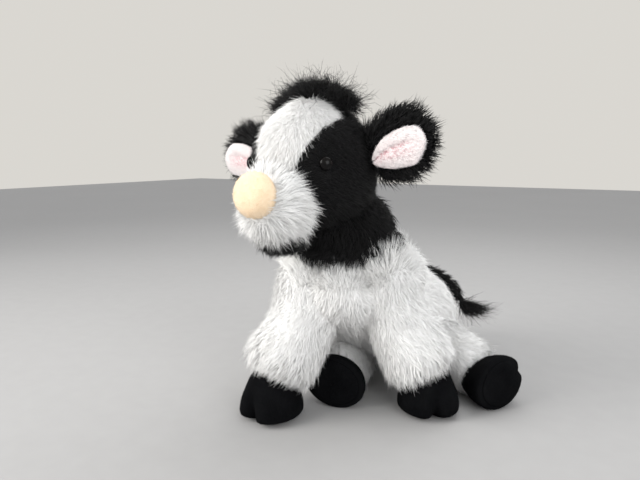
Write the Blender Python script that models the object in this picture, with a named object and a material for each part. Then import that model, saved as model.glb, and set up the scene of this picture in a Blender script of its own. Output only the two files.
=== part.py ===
# A sitting plush calf: stuffed torso, neck, head, ears, legs, hooves and tail, each its own solid.
# Metres. The calf faces -Y, its left side is +X, and it sits on Z = 0 with the seat at the origin.

import math

import bmesh
import bpy
import numpy as np
from mathutils import Matrix, Vector

# Clearances
seam_gap = 0.0003  # between sewn pieces that don't turn on each other
turn_gap = 0.0005  # between pieces that turn on each other
flat_depth = 0.0005  # how deep a resting form is cut flat
overrun = 0.02  # how far a cutter reaches past what it cuts

# Torso, from the rump's back end to the front of the chest
rump_half_width = 0.053
rump_height = 0.098
rump_back_reach = 0.052
chest_half_width = 0.041
chest_depth = 0.070
chest_front_reach = 0.164
chest_height = 0.097  # of the chest's middle

# Pellet pouch and the closing seam that it was filled through
pouch_half_width = 0.034
pouch_half_length = 0.026
pouch_half_height = 0.020
pouch_floor = 0.010  # stuffing and skin under the pouch
closing_seam_length = 0.030
closing_seam_width = 0.0010

# Neck
neck_base_radius = 0.0450
neck_radius = 0.0415
neck_ball_radius = 0.0380
neck_flare_height = 0.004
neck_forward = 0.113
neck_side = 0.005  # towards the calf's right
neck_sink = 0.005  # of its seat below the top of the chest
neck_length = 0.010  # from its seat to the ball's middle
neck_lean = math.radians(9)

# Head
skull_half_width = 0.048
skull_half_height = 0.052
skull_half_depth = 0.051
skull_forward = 0.020  # of its middle before the neck ball's middle
skull_rise = 0.054
skull_side = 0.018
head_turn = math.radians(5)  # to the calf's right

muzzle_half_width = 0.0262
muzzle_half_height = 0.0295
muzzle_reach = 0.023  # past the skull
muzzle_drop = 0.0255  # of its middle below the skull's
blaze_depth = 0.006
blaze_top_half_width = 0.037
blaze_mid_half_width = 0.024
blaze_low_half_width = 0.015
nose_half_width = 0.0168
nose_half_height = 0.0165
nose_half_depth = 0.0125
nose_rise = 0.0075  # above the muzzle's middle
nose_sink = 0.005
chin_half_width = 0.0150
chin_half_height = 0.0085
chin_half_length = 0.0170
chin_back = 0.010  # of its middle behind the muzzle's

# Eyes: a dome, its shank through the skin and the washer that holds it
eye_radius = 0.0048
eye_bulge = 0.0034
eye_turn = math.radians(45)  # from straight ahead
eye_rise = 0.003
eye_edge = math.radians(20)  # how far the dome turns in below its widest ring
shank_radius = 0.0015
shank_length = 0.0120
washer_radius = 0.0065
washer_thickness = 0.0016
washer_depth = 0.0070  # below the dome

# Ears
ear_length = 0.048
ear_half_width = 0.0260
ear_half_thickness = 0.0085
ear_rise = 0.004  # of its root above the skull's middle
ear_back = 0.006
left_ear_lift = 0.016  # of its tip above its root
right_ear_lift = 0.006
ear_sink = 0.007  # of its root in the skull
lining_length = 0.042
lining_half_width = 0.0145
lining_half_thickness = 0.0040
lining_drop = 0.005  # of its middle line below the ear's

# Hair over the crown
hair_half_length = 0.042
hair_half_thickness = 0.011
hair_height = 0.0115
hair_crown_rise = 0.020  # of its curve's control point over the crown

# Forelegs
foreleg_radius = 0.0305
foreleg_bow = 0.014  # of its curve's control point towards the middle plane
shoulder_height = 0.105
shoulder_back = 0.119  # how far before the seat the shoulders are
shoulder_sink = 0.010  # of the leg's middle line in the chest's side
ankle_height = 0.030
right_fore_step = 0.054  # forward of the shoulder
left_fore_step = -0.014
right_fore_splay = 0.008  # outward of the shoulder
left_fore_splay = 0.032

# Hooves
fore_hoof_half_width = 0.0230
fore_hoof_half_length = 0.0245
hind_hoof_half_width = 0.0195
hind_hoof_half_length = 0.0245
hoof_height = 0.042
fore_cleft_share = 0.32
hind_cleft_share = 0.16
sole_thickness = 0.0035

# Hind legs
hindleg_radius = 0.0260
hip_out = 0.030
hip_forward = 0.022
hip_height = 0.034
right_foot_out = -0.008  # of the hoof's middle from the middle plane, towards the left
left_foot_out = 0.098
right_foot_forward = 0.121
left_foot_forward = 0.064
hind_hoof_tilt = math.radians(8)

# Tail, which lies over the rump's left side
tail_radius = 0.0050
tail_back = 0.034  # of its root behind the seat
tail_root_depth = 0.004
tail_side = 0.046  # of its tip from its root
tail_reach = 0.006
tail_drop = 0.036
tail_rest_angle = math.radians(45)  # round the rump from its top, where the tail's middle lies on it
tail_tuft_radius = 0.0090
tail_tuft_side = 0.026
tail_tuft_reach = 0.010
tail_tuft_drop = 0.006

# How far the pieces turn that their neighbours are cut for
ear_range = math.radians(15)
fore_range = math.radians(30)
left_hip_range = math.radians(15)
right_hip_range = math.radians(6)
tail_range = math.radians(30)
sweep_step = math.radians(6)

# Shares along each form, chosen by hand
torso_slope_share = 0.12  # how far the back's shoulders draw in
torso_width_shares = (0.0, 0.0, 0.12, 0.62, 0.95, 1.0)
torso_rise_shares = (0.0, 0.0, 0.04, 0.50, 0.95, 1.0)
rump_end_share = 0.85  # of the reach behind the seat, rounds in
skull_end_shares = (0.40, 0.5)  # how much of the height rounds in, at the jaw and crown
muzzle_end_shares = (0.2, 0.4)
muzzle_root_share = 0.5  # of the skull's half depth
blaze_height_shares = (0.98, 0.42)  # of the skull's half height
eye_back_share = 0.8
eye_seat_share = 0.35
ear_end_shares = (0.15, 0.3)
ear_bow_share = 0.4
ear_root_share = 0.93
lining_end_shares = (0.3, 0.3)
hair_end_shares = (0.3, 0.3)
hair_root_share = 0.72  # of the skull's half height
leg_end_shares = (0.28, 0.16)
foreleg_root_share = 0.9
hindleg_root_share = 0.5
hoof_end_shares = (0.3, 0.15)
hoof_lift_share = 0.95
toe_rise_share = 0.3
cleft_start_share = 0.31  # of the way down the hoof
cleft_full_share = 0.94
tail_end_shares = (0.1, 0.1)
tuft_end_shares = (0.2, 0.3)
ball_end_shares = (0.5, 0.5)
skull_width_shares = (0.90, 0.96, 1.0, 1.0, 0.95, 0.86)
skull_depth_shares = (0.86, 0.96, 1.0, 1.0, 0.98, 0.92)
muzzle_shares = (1.04, 1.04, 1.0, 0.94, 0.88)
foreleg_shares = (0.95, 0.96, 0.94, 0.98, 1.06, 1.06)
hindleg_shares = (0.92, 1.05, 1.04, 1.0, 0.97, 0.92)
cleft_angle_share = 0.24
hoof_shares = (0.64, 0.70, 0.84, 0.98, 1.05, 1.0)
ear_shares = (0.50, 0.78, 0.98, 1.0, 0.84, 0.62)
lining_shares = (0.60, 0.86, 1.0, 0.98, 0.80)
tail_shares = (0.82, 0.86, 0.92, 1.0)
tail_rest_share = 0.8  # of its radius, over the rump
tuft_shares = (0.50, 0.80, 1.0, 0.80, 0.45)

# Counts
sides = 16
small_sides = 12
dome_rings = 4
ball_sides = 24
ball_rings = 8  # from the neck ball's widest ring to its top


def material(name, colour, roughness):
    made = bpy.data.materials.new(name)
    made.use_nodes = True
    shader = made.node_tree.nodes["Principled BSDF"]
    shader.inputs["Base Color"].default_value = (*colour, 1)
    shader.inputs["Roughness"].default_value = roughness
    shader.inputs["Metallic"].default_value = 0
    made.diffuse_color = (*colour, 1)
    return made


def add_mesh(name, points, faces, finish):
    mesh = bpy.data.meshes.new(name)
    mesh.from_pydata([tuple(p) for p in points], [], faces)
    mesh.shade_smooth()
    mesh.validate()
    made = bpy.data.objects.new(name, mesh)
    bpy.context.scene.collection.objects.link(made)
    if finish:
        mesh.materials.append(finish)
    return made


def as_cutter(made):
    made.hide_render = True
    made.display_type = "WIRE"
    return made


def spread(shares, t):
    """A smooth curve through shares at even stations, read at t from 0 to 1."""
    values = np.array(shares, dtype=float)
    slopes = np.gradient(values)
    place = np.clip(t, 0, 1) * (len(values) - 1)
    low = np.minimum(place.astype(int), len(values) - 2)
    f = place - low
    return (
        (2 * f**3 - 3 * f**2 + 1) * values[low]
        + (f**3 - 2 * f**2 + f) * slopes[low]
        + (3 * f**2 - 2 * f**3) * values[low + 1]
        + (f**3 - f**2) * slopes[low + 1]
    )


def rounded(t, first_share, last_share):
    """1 along a form, falling to 0 at both ends as an ellipse does."""
    first = np.clip((first_share - t) / first_share, 0, 1)
    last = np.clip((t - 1 + last_share) / last_share, 0, 1)
    return np.sqrt(np.clip(1 - np.maximum(first, last) ** 2, 0, 1))


def even_round(rings):
    """Stations from 0 to 1 that stand closer at the ends."""
    return (1 - np.cos(np.pi * np.arange(rings + 1) / rings)) / 2


def bow(start, middle, end):
    """A curve from start to end whose control point is middle, as a function of t."""
    a, b, c = (np.array(p, dtype=float) for p in (start, middle, end))
    return lambda t: (
        np.outer((1 - t) ** 2, a) + np.outer(2 * t * (1 - t), b) + np.outer(t**2, c)
    )


def form(
    name, path, half_width, half_height, side, finish, rings, grow=0.0, around=None, twist=0.0
):
    """A closed swelling form. path(t) is its middle line; half_width(t) runs along side and
    half_height(t) across it, and both fall to zero at t = 0 and t = 1. around(t, angle) scales
    the outline, grow moves every point outward and twist turns the sides by a share of one."""
    t = even_round(rings)
    middle = path(t)
    tangent = np.gradient(middle, t, axis=0)
    tangent /= np.linalg.norm(tangent, axis=1)[:, None]
    across = np.array(side, dtype=float) - tangent * (tangent @ np.array(side, dtype=float))[:, None]
    across /= np.linalg.norm(across, axis=1)[:, None]
    above = np.cross(tangent, across)
    angle = 2 * np.pi * (np.arange(sides) + twist) / sides
    inner = slice(1, rings)
    scale = np.ones((rings - 1, sides))
    if around:
        scale = around(t[inner, None], angle[None, :])
    wide = (half_width(t)[inner, None] * scale * np.cos(angle))[:, :, None]
    high = (half_height(t)[inner, None] * scale * np.sin(angle))[:, :, None]
    skin = middle[inner, None] + wide * across[inner, None] + high * above[inner, None]
    points = np.vstack([middle[:1], skin.reshape(-1, 3), middle[-1:]])
    last = len(points) - 1
    faces = []
    for j in range(sides):
        k = (j + 1) % sides
        faces.append((0, 1 + k, 1 + j))
        for i in range(rings - 2):
            row = 1 + i * sides
            faces.append((row + j, row + k, row + sides + k, row + sides + j))
        row = last - sides
        faces.append((last, row + j, row + k))
    made = add_mesh(name, points, faces, finish)
    if grow:
        moved = [v.co + v.normal * grow for v in made.data.vertices]
        for vertex, place in zip(made.data.vertices, moved):
            vertex.co = place
    return made


def turned(name, profile, axis, origin, finish, count=sides):
    """A closed solid turned round axis. profile is (distance along the axis, radius), from the
    end at the axis's tail to its head, and starts and ends at radius zero."""
    direction = Vector(axis).normalized()
    side = direction.orthogonal().normalized()
    above = direction.cross(side)
    base = Vector(origin)
    points = [base + direction * profile[0][0]]
    for along, radius in profile[1:-1]:
        for j in range(count):
            angle = math.tau * j / count
            ring = side * math.cos(angle) + above * math.sin(angle)
            points.append(base + direction * along + ring * radius)
    points.append(base + direction * profile[-1][0])
    last = len(points) - 1
    faces = []
    for j in range(count):
        k = (j + 1) % count
        faces.append((0, 1 + k, 1 + j))
        for i in range(len(profile) - 3):
            row = 1 + i * count
            faces.append((row + j, row + k, row + count + k, row + count + j))
        row = last - count
        faces.append((last, row + j, row + k))
    return add_mesh(name, points, faces, finish)


def box(name, low, high, finish=None):
    bm = bmesh.new()
    bmesh.ops.create_cube(bm, size=1)
    size = Vector(high) - Vector(low)
    middle = (Vector(high) + Vector(low)) / 2
    bmesh.ops.scale(bm, vec=size, verts=bm.verts)
    bmesh.ops.translate(bm, vec=middle, verts=bm.verts)
    mesh = bpy.data.meshes.new(name)
    bm.to_mesh(mesh)
    bm.free()
    made = bpy.data.objects.new(name, mesh)
    bpy.context.scene.collection.objects.link(made)
    if finish:
        mesh.materials.append(finish)
    return made


def combine(made, operand, operation="DIFFERENCE"):
    step = made.modifiers.new(operand.name, "BOOLEAN")
    step.operation = operation
    step.solver = "EXACT"
    step.object = operand
    return made


def about(pivot, axis, angle):
    """The turn by angle about the line through pivot along axis."""
    there = Matrix.Translation(Vector(pivot))
    return there @ Matrix.Rotation(angle, 4, Vector(axis)) @ there.inverted()


def cut_through_sweep(made, larger, pivot, axis, low, high):
    """Cuts made by the larger form at every step of made's turn from low to high."""
    steps = max(1, round((high - low) / sweep_step))
    for step in range(steps + 1):
        angle = low + (high - low) * step / steps
        copy = bpy.data.objects.new(f"{made.name}_{larger.name}_{step}", larger.data)
        bpy.context.scene.collection.objects.link(copy)
        copy.matrix_world = about(pivot, axis, -angle)
        combine(made, as_cutter(copy))


def set_origin(made, pivot):
    """Puts the object's origin on its joint without moving its shape."""
    made.data.transform(Matrix.Translation(-Vector(pivot)))
    made.location = Vector(pivot)


def clear_scene():
    for old in list(bpy.data.objects):
        bpy.data.objects.remove(old, do_unlink=True)


# Torso

seat_share = rump_back_reach / (rump_back_reach + chest_front_reach)
rump_middle = rump_height / 2 * math.cos(math.pi / sides) - flat_depth  # a side lies under it
torso_end_shares = (seat_share * rump_end_share, seat_share)
chest_top = chest_height + chest_depth / 2


def torso_path(t):
    rise = spread(torso_rise_shares, t)
    length = rump_back_reach + chest_front_reach
    along = rump_back_reach - length * t
    height = rump_middle + (chest_height - rump_middle) * rise
    return np.stack([0 * t, along, height], axis=1)


def torso_half_width(t):
    blend = spread(torso_width_shares, t)
    full = rump_half_width + (chest_half_width - rump_half_width) * blend
    return full * rounded(t, *torso_end_shares)


def torso_half_height(t):
    blend = spread(torso_rise_shares, t)
    full = rump_height / 2 + (chest_depth - rump_height) / 2 * blend
    return full * rounded(t, *torso_end_shares)


def torso_slope(t, angle):
    """Draws the section in between its top and its sides."""
    above = np.clip(-np.sin(angle), 0, 1) + 0 * t
    return 1 - torso_slope_share * above * np.abs(np.sin(2 * angle))


def torso_form(name, finish, grow=0.0):
    return form(
        name,
        torso_path,
        torso_half_width,
        torso_half_height,
        (-1, 0, 0),
        finish,
        15,
        grow,
        torso_slope,
        0.5,
    )


def pouch_form(name, finish, grow=0.0):
    middle = pouch_floor + pouch_half_height
    ends = ((0, pouch_half_length, middle), (0, 0, middle), (0, -pouch_half_length, middle))
    return form(
        name,
        bow(*ends),
        lambda t: pouch_half_width * rounded(t, *ball_end_shares),
        lambda t: pouch_half_height * rounded(t, *ball_end_shares),
        (-1, 0, 0),
        finish,
        8,
        grow,
    )


# Neck and head

neck_room_radius = (neck_base_radius + turn_gap) / math.cos(math.pi / ball_sides)
neck_axis = Vector((0, -math.sin(neck_lean), math.cos(neck_lean)))
neck_seat = Vector((-neck_side, -neck_forward, chest_top - neck_sink))
neck_middle = neck_seat + neck_axis * neck_length
skull_middle = neck_middle + Vector((-skull_side, -skull_forward, skull_rise))
face_left = Vector((math.cos(head_turn), -math.sin(head_turn), 0))
face_forward = Vector((-math.sin(head_turn), -math.cos(head_turn), 0))


def on_head(left, forward, up):
    """The point that lies so far from the skull's middle, as the calf faces."""
    return skull_middle + face_left * left + face_forward * forward + Vector((0, 0, up))


def ball_profile(radius, lowest):
    """Round the ball that the head nods on, from the angle lowest to its top."""
    rings = round(ball_rings * (math.pi / 2 - lowest) / (math.pi / 2))
    angles = np.linspace(lowest, math.pi / 2, rings + 1)
    return [(neck_length + radius * math.sin(a), radius * math.cos(a)) for a in angles]


def neck_profile():
    """From the seat, up the flared neck, then round the ball."""
    wall = [(seam_gap, 0), (seam_gap, neck_base_radius), (neck_flare_height, neck_radius)]
    return wall + ball_profile(neck_ball_radius, 0)


def skull_form(name, finish, grow=0.0):
    low = on_head(0, 0, -skull_half_height)
    high = on_head(0, 0, skull_half_height)
    return form(
        name,
        bow(low, skull_middle, high),
        lambda t: skull_half_width * spread(skull_width_shares, t) * rounded(t, *skull_end_shares),
        lambda t: skull_half_depth * spread(skull_depth_shares, t) * rounded(t, *skull_end_shares),
        face_left,
        finish,
        13,
        grow,
    )


muzzle_root = on_head(0, skull_half_depth * muzzle_root_share, -muzzle_drop)
muzzle_tip = on_head(0, skull_half_depth + muzzle_reach, -muzzle_drop)


def muzzle_form(name, finish, grow=0.0):
    return form(
        name,
        bow(muzzle_root, (muzzle_root + muzzle_tip) / 2, muzzle_tip),
        lambda t: muzzle_half_width * spread(muzzle_shares, t) * rounded(t, *muzzle_end_shares),
        lambda t: muzzle_half_height * spread(muzzle_shares, t) * rounded(t, *muzzle_end_shares),
        face_left,
        finish,
        10,
        grow,
    )


def nose_form(name, finish, grow=0.0):
    middle = muzzle_tip - face_forward * nose_sink + Vector((0, 0, nose_rise))
    reach = face_forward * nose_half_depth
    return form(
        name,
        bow(middle - reach, middle, middle + reach),
        lambda t: nose_half_width * rounded(t, *ball_end_shares),
        lambda t: nose_half_height * rounded(t, *ball_end_shares),
        face_left,
        finish,
        10,
        grow,
    )


def chin_form(name, finish):
    middle = (muzzle_root + muzzle_tip) / 2 - face_forward * chin_back
    middle -= Vector((0, 0, muzzle_half_height - chin_half_height / 2))
    reach = face_forward * chin_half_length
    return form(
        name,
        bow(middle - reach, middle, middle + reach),
        lambda t: chin_half_width * rounded(t, *ball_end_shares),
        lambda t: chin_half_height * rounded(t, *ball_end_shares),
        face_left,
        finish,
        8,
    )


def blaze_prism(name, finish, grow=0.0):
    """The outline of the white panel, seen from the front, run back to the skull's middle."""
    top, mid = (skull_half_height * share for share in blaze_height_shares)
    heights = (top, mid, 0, -muzzle_drop)
    halves = (blaze_top_half_width, blaze_mid_half_width, blaze_low_half_width, blaze_low_half_width)
    right = [(-half - grow, height) for half, height in zip(halves, heights)]
    left = [(half + grow, height) for half, height in zip(halves, heights)]
    right[0] = (right[0][0], right[0][1] + grow)
    left[0] = (left[0][0], left[0][1] + grow)
    right[-1] = (right[-1][0], right[-1][1] - grow)
    left[-1] = (left[-1][0], left[-1][1] - grow)
    outline = right + left[::-1]
    count = len(outline)
    points = []
    for forward in (skull_half_depth + overrun, 0):
        points += [on_head(left, forward, up) for left, up in outline]
    faces = [tuple(range(count)), tuple(reversed(range(count, 2 * count)))]
    for i in range(count):
        k = (i + 1) % count
        faces.append((i, i + count, k + count, k))
    made = add_mesh(name, points, faces, finish)
    bm = bmesh.new()
    bm.from_mesh(made.data)
    bmesh.ops.recalc_face_normals(bm, faces=bm.faces)
    bm.to_mesh(made.data)
    bm.free()
    return made


# Skins: each finish is a name, a colour and a roughness

finishes = {
    "white_pile": ((0.86, 0.85, 0.82), 0.95),
    "black_pile": ((0.015, 0.015, 0.018), 0.95),
    "black_velvet": ((0.012, 0.012, 0.014), 0.85),
    "peach_velour": ((0.90, 0.72, 0.52), 0.9),
    "pink_fleece": ((0.85, 0.60, 0.62), 0.95),
    "eye_plastic": ((0.01, 0.01, 0.01), 0.08),
    "washer_plastic": ((0.75, 0.75, 0.73), 0.5),
    "pouch_cloth": ((0.70, 0.68, 0.62), 0.9),
}


def build_torso(skin):
    torso = torso_form("torso", skin["white_pile"])
    reach = rump_half_width + overrun
    front = -chest_front_reach - overrun
    back = rump_back_reach + overrun
    floor = box("floor_cut", (-reach, front, -overrun), (reach, back, 0))
    combine(torso, as_cutter(floor))
    top = neck_length + neck_ball_radius + overrun
    radius = neck_room_radius
    seat = [(0, 0), (0, radius), (top, radius), (top, 0)]
    combine(torso, as_cutter(turned("neck_seat_cut", seat, neck_axis, neck_seat, None, ball_sides)))
    combine(torso, as_cutter(pouch_form("pouch_space", None, grow=seam_gap)))
    half = closing_seam_length / 2
    middle = pouch_floor + pouch_half_height
    slit = box(
        "closing_seam",
        (-half, 0, middle - closing_seam_width / 2),
        (half, rump_back_reach + overrun, middle + closing_seam_width / 2),
    )
    combine(torso, as_cutter(slit))
    pouch_form("pellet_pouch", skin["pouch_cloth"])


def build_neck(skin):
    neck = turned("neck", neck_profile(), neck_axis, neck_seat, skin["black_pile"], ball_sides)
    set_origin(neck, neck_seat)


def eye_place(hand):
    """The point on the skull where an eye sits, and the way it looks."""
    left, forward = hand * math.sin(eye_turn), math.cos(eye_turn)
    rise_share = eye_rise / skull_half_height
    t = np.array([(1 + rise_share) / 2])
    shrink = float(rounded(t, *skull_end_shares)[0])
    wide = skull_half_width * float(spread(skull_width_shares, t)[0]) * shrink
    deep = skull_half_depth * float(spread(skull_depth_shares, t)[0]) * shrink
    radius = 1 / math.sqrt((left / wide) ** 2 + (forward / deep) ** 2)
    look = face_left * (left / wide**2) + face_forward * (forward / deep**2)
    look += Vector((0, 0, rise_share / skull_half_height))
    return on_head(left * radius, forward * radius, eye_rise), look.normalized()


def eye_profile(grow=0.0):
    """From the shank's end, along the shank, then over the dome to its top."""
    end = -shank_length - grow
    back = -eye_bulge - grow
    profile = [(end, 0), (end, shank_radius + grow), (back, shank_radius + grow)]
    profile.append((back, eye_radius * eye_back_share + grow))
    for angle in np.linspace(-eye_edge, math.pi / 2, dome_rings + 1):
        along = (eye_bulge + grow) * math.sin(angle) - eye_bulge * eye_seat_share
        profile.append((along, (eye_radius + grow) * math.cos(angle)))
    return profile


def washer_profile(grow=0.0):
    """A plain disc; its hole is cut after."""
    low = -eye_bulge - washer_depth - grow
    high = low + washer_thickness + 2 * grow
    radius = washer_radius + grow
    return [(low, 0), (low, radius), (high, radius), (high, 0)]


def eye_room_profile():
    """The space round an eye and its washer, as one hollow."""
    eye = eye_profile(seam_gap)
    low, low_edge, high_edge, high = washer_profile(seam_gap)
    narrow = shank_radius + seam_gap
    return [*eye[:2], (low[0], narrow), low_edge, high_edge, (high[0], narrow), *eye[2:]]


def build_head(skin):
    head = skull_form("head", skin["black_pile"])
    blaze = blaze_prism("blaze", skin["white_pile"])
    combine(blaze, as_cutter(skull_form("skull_outside", None)), "INTERSECT")
    combine(blaze, as_cutter(skull_form("blaze_bed", None, grow=seam_gap - blaze_depth)))
    recess = as_cutter(blaze_prism("blaze_recess", None, grow=seam_gap))
    combine(recess, as_cutter(skull_form("skull_core", None, grow=-blaze_depth)))
    combine(head, recess)

    solid = as_cutter(skull_form("skull_clear", None, grow=seam_gap))
    muzzle = combine(muzzle_form("muzzle", skin["white_pile"]), solid)
    muzzle_clear = as_cutter(muzzle_form("muzzle_clear", None, grow=seam_gap))
    nose = combine(nose_form("nose", skin["peach_velour"]), muzzle_clear)
    chin = combine(chin_form("chin", skin["black_pile"]), muzzle_clear)
    combine(chin, solid)

    # the bowl's flats stay clear of the ball's edges as the head nods
    flat_share = math.cos(math.pi / ball_sides) * math.cos(math.pi / ball_rings / 4)
    bowl = ball_profile((neck_ball_radius + seam_gap) / flat_share, -math.pi / 2)
    socket = as_cutter(turned("neck_ball_space", bowl, neck_axis, neck_seat, None, ball_sides))
    for piece in (head, chin, muzzle):
        combine(piece, socket)

    for hand, word in ((1, "left"), (-1, "right")):
        place, look = eye_place(hand)
        eye = turned(f"eye_{word}", eye_profile(), look, place, skin["eye_plastic"], small_sides)
        disc = skin["washer_plastic"]
        washer = turned(f"washer_{word}", washer_profile(), look, place, disc, small_sides)
        hole = turned(f"washer_hole_{word}", eye_profile(seam_gap), look, place, None, small_sides)
        room = turned(f"eye_room_{word}", eye_room_profile(), look, place, None, small_sides)
        combine(washer, as_cutter(hole))
        combine(head, as_cutter(room))
        set_origin(eye, neck_middle)
        set_origin(washer, neck_middle)
    for piece in (head, blaze, muzzle, nose, chin):
        set_origin(piece, neck_middle)


def ear_path(hand, length, out, front, drop):
    """The ear's middle line, from its root in the skull's side to its tip."""
    lift = Vector((0, 0, left_ear_lift if hand > 0 else right_ear_lift))
    root = on_head(hand * (skull_half_width - ear_sink), front - ear_back, ear_rise - drop)
    tip = root + face_left * hand * (length + ear_sink) + lift
    shift = face_left * hand * out + lift * out / ear_length
    middle = (root + tip) / 2 - face_forward * ear_half_thickness * ear_bow_share
    middle += lift / 2
    return bow(root + shift, middle + shift, tip)


def build_ears(skin):
    for hand, word in ((1, "left"), (-1, "right")):
        ear_pivot = on_head(hand * skull_half_width * ear_root_share, -ear_back, ear_rise)
        path = ear_path(hand, ear_length, 0, 0, 0)

        def ear_form(name, finish, grow=0.0, path=path):
            return form(
                name,
                path,
                lambda t: ear_half_width * spread(ear_shares, t) * rounded(t, *ear_end_shares),
                lambda t: ear_half_thickness * spread(ear_shares, t) * rounded(t, *ear_end_shares),
                (0, 0, 1),
                finish,
                12,
                grow,
            )

        ear = ear_form(f"ear_{word}", skin["black_pile"])
        front = ear_half_thickness
        edge = (ear_length - lining_length) / 2 + ear_sink
        lining = form(
            f"ear_lining_{word}",
            ear_path(hand, (ear_length + lining_length) / 2, edge, front, lining_drop),
            lambda t: lining_half_width * spread(lining_shares, t) * rounded(t, *lining_end_shares),
            lambda t: lining_half_thickness * rounded(t, *lining_end_shares),
            (0, 0, 1),
            skin["pink_fleece"],
            10,
        )
        combine(lining, as_cutter(ear_form(f"ear_clear_{word}", None, seam_gap)))
        larger = skull_form(f"skull_for_{word}_ear", None, grow=turn_gap)
        as_cutter(larger)
        for piece in (ear, lining):
            cut_through_sweep(piece, larger, ear_pivot, (0, 0, 1), -ear_range, ear_range)
            set_origin(piece, ear_pivot)


def build_hair(skin):
    root = skull_half_height * hair_root_share
    left = on_head(hair_half_length, 0, root)
    right = on_head(-hair_half_length, 0, root)
    over = on_head(0, 0, skull_half_height + hair_crown_rise)
    hair = form(
        "hair_tuft",
        bow(right, over, left),
        lambda t: hair_half_thickness * rounded(t, *hair_end_shares),
        lambda t: hair_height * rounded(t, *hair_end_shares),
        face_forward,
        skin["black_pile"],
        12,
    )
    combine(hair, as_cutter(skull_form("skull_for_hair", None, grow=seam_gap)))
    set_origin(hair, neck_middle)


def hoof_form(name, hoof_size, top, sole, toe, finish, grow=0.0):
    """A cloven hoof from its hidden top to its sole. toe is the way its cleft points, and
    hoof_size its half width, half length and the cleft's share of that length."""
    half_width, half_length, cleft_share = hoof_size
    way = (Vector(sole) - Vector(top)).normalized()
    forward = (Vector(toe) - way * way.dot(Vector(toe))).normalized()

    def cleft(t, angle):
        away = np.minimum(angle, 2 * np.pi - angle)
        depth = cleft_share * np.clip((t - cleft_start_share) / (cleft_full_share - cleft_start_share), 0, 1)
        return 1 - depth * np.exp(-((away / cleft_angle_share) ** 2))

    return form(
        name,
        bow(top, (Vector(top) + Vector(sole)) / 2, sole),
        lambda t: half_length * spread(hoof_shares, t) * rounded(t, *hoof_end_shares),
        lambda t: half_width * spread(hoof_shares, t) * rounded(t, *hoof_end_shares),
        forward,
        finish,
        12,
        grow,
        cleft,
    )


def slab_across(name, middle, way, thick_from, thick_to, reach):
    """A block square to way, between two distances from middle along it."""
    profile = [(thick_from, 0), (thick_from, reach), (thick_to, reach), (thick_to, 0)]
    return as_cutter(turned(name, profile, way, middle, None))


def build_foot(label, word, size, top, sole, toe, skin, leg_clear, pivot, floor):
    """A hoof on the end of its leg, with its sole panel."""
    way = (Vector(sole) - Vector(top)).normalized()
    hoof = hoof_form(f"{label}_hoof_{word}", size, top, sole, toe, skin["black_velvet"])
    panel = hoof_form(f"{label}_sole_{word}", size, top, sole, toe, skin["black_velvet"])
    reach = size[1] * 2
    under = slab_across(f"{panel.name}_room", sole, way, -sole_thickness - seam_gap, overrun, reach)
    keep = slab_across(f"{panel.name}_keep", sole, way, -sole_thickness, overrun, reach)
    combine(hoof, under)
    combine(panel, keep, "INTERSECT")
    combine(hoof, leg_clear)
    for piece in (hoof, panel):
        combine(piece, floor)
        set_origin(piece, pivot)
    return hoof, panel


def limb_form(name, path, radius, shares, finish, grow=0.0, ends=leg_end_shares):
    return form(
        name,
        path,
        lambda t: radius * spread(shares, t) * rounded(t, *ends),
        lambda t: radius * spread(shares, t) * rounded(t, *ends),
        (1, 0, 0),
        finish,
        9,
        grow,
    )


def foreleg_line(hand):
    """The shoulder, the ankle and the hinge axis of a foreleg. A positive turn swings it forward."""
    splay = left_fore_splay if hand > 0 else right_fore_splay
    step = left_fore_step if hand > 0 else right_fore_step
    out = chest_half_width - shoulder_sink
    shoulder = Vector((hand * out, -shoulder_back, shoulder_height))
    ankle = shoulder + Vector((hand * splay, -step, ankle_height - shoulder_height))
    way = (ankle - shoulder).normalized()
    axis = Vector((-1, 0, 0))
    axis = (axis - way * axis.dot(way)).normalized()
    return shoulder, ankle, axis


def build_forelegs(skin, torso_clear, floor):
    """Builds both forelegs and gives back the space that they stand in."""
    spaces = []
    radius = neck_room_radius
    profile = [(-turn_gap, 0), (-turn_gap, radius), (radius, radius), (radius, 0)]
    neck_room = as_cutter(turned("neck_room", profile, neck_axis, neck_seat, None, ball_sides))
    for hand, word in ((1, "left"), (-1, "right")):
        shoulder, ankle, axis = foreleg_line(hand)
        way = (ankle - shoulder).normalized()
        root = shoulder - way * foreleg_radius * foreleg_root_share
        path = bow(root, (root + ankle) / 2 - Vector((hand * foreleg_bow, 0, 0)), ankle)
        leg = limb_form(f"foreleg_{word}", path, foreleg_radius, foreleg_shares, skin["white_pile"])
        clear = limb_form(
            f"foreleg_clear_{word}", path, foreleg_radius, foreleg_shares, None, seam_gap
        )
        space = limb_form(
            f"foreleg_space_{word}", path, foreleg_radius, foreleg_shares, None, turn_gap
        )
        spaces.append(as_cutter(space))
        cut_through_sweep(leg, torso_clear, shoulder, axis, 0, fore_range)
        cut_through_sweep(leg, neck_room, shoulder, axis, 0, fore_range)
        set_origin(leg, shoulder)
        sole = Vector((ankle.x, ankle.y, -flat_depth))
        toe = Vector((hand * (left_fore_splay if hand > 0 else right_fore_splay), -hoof_height, 0))
        top = sole + Vector((0, 0, hoof_height))
        size = (fore_hoof_half_width, fore_hoof_half_length, fore_cleft_share)
        build_foot("fore", word, size, top, sole, toe, skin, as_cutter(clear), shoulder, floor)
    return spaces


def hindleg_line(hand):
    """The hip, the ankle and the way of a hind leg, which lies along the ground."""
    out = left_foot_out if hand > 0 else -right_foot_out
    forward = left_foot_forward if hand > 0 else right_foot_forward
    hip = Vector((hand * hip_out, -hip_forward, hip_height))
    lift = hind_hoof_half_width * hoof_lift_share
    foot = Vector((hand * out, -forward, lift))
    return hip, foot, (foot - hip).normalized()


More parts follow.
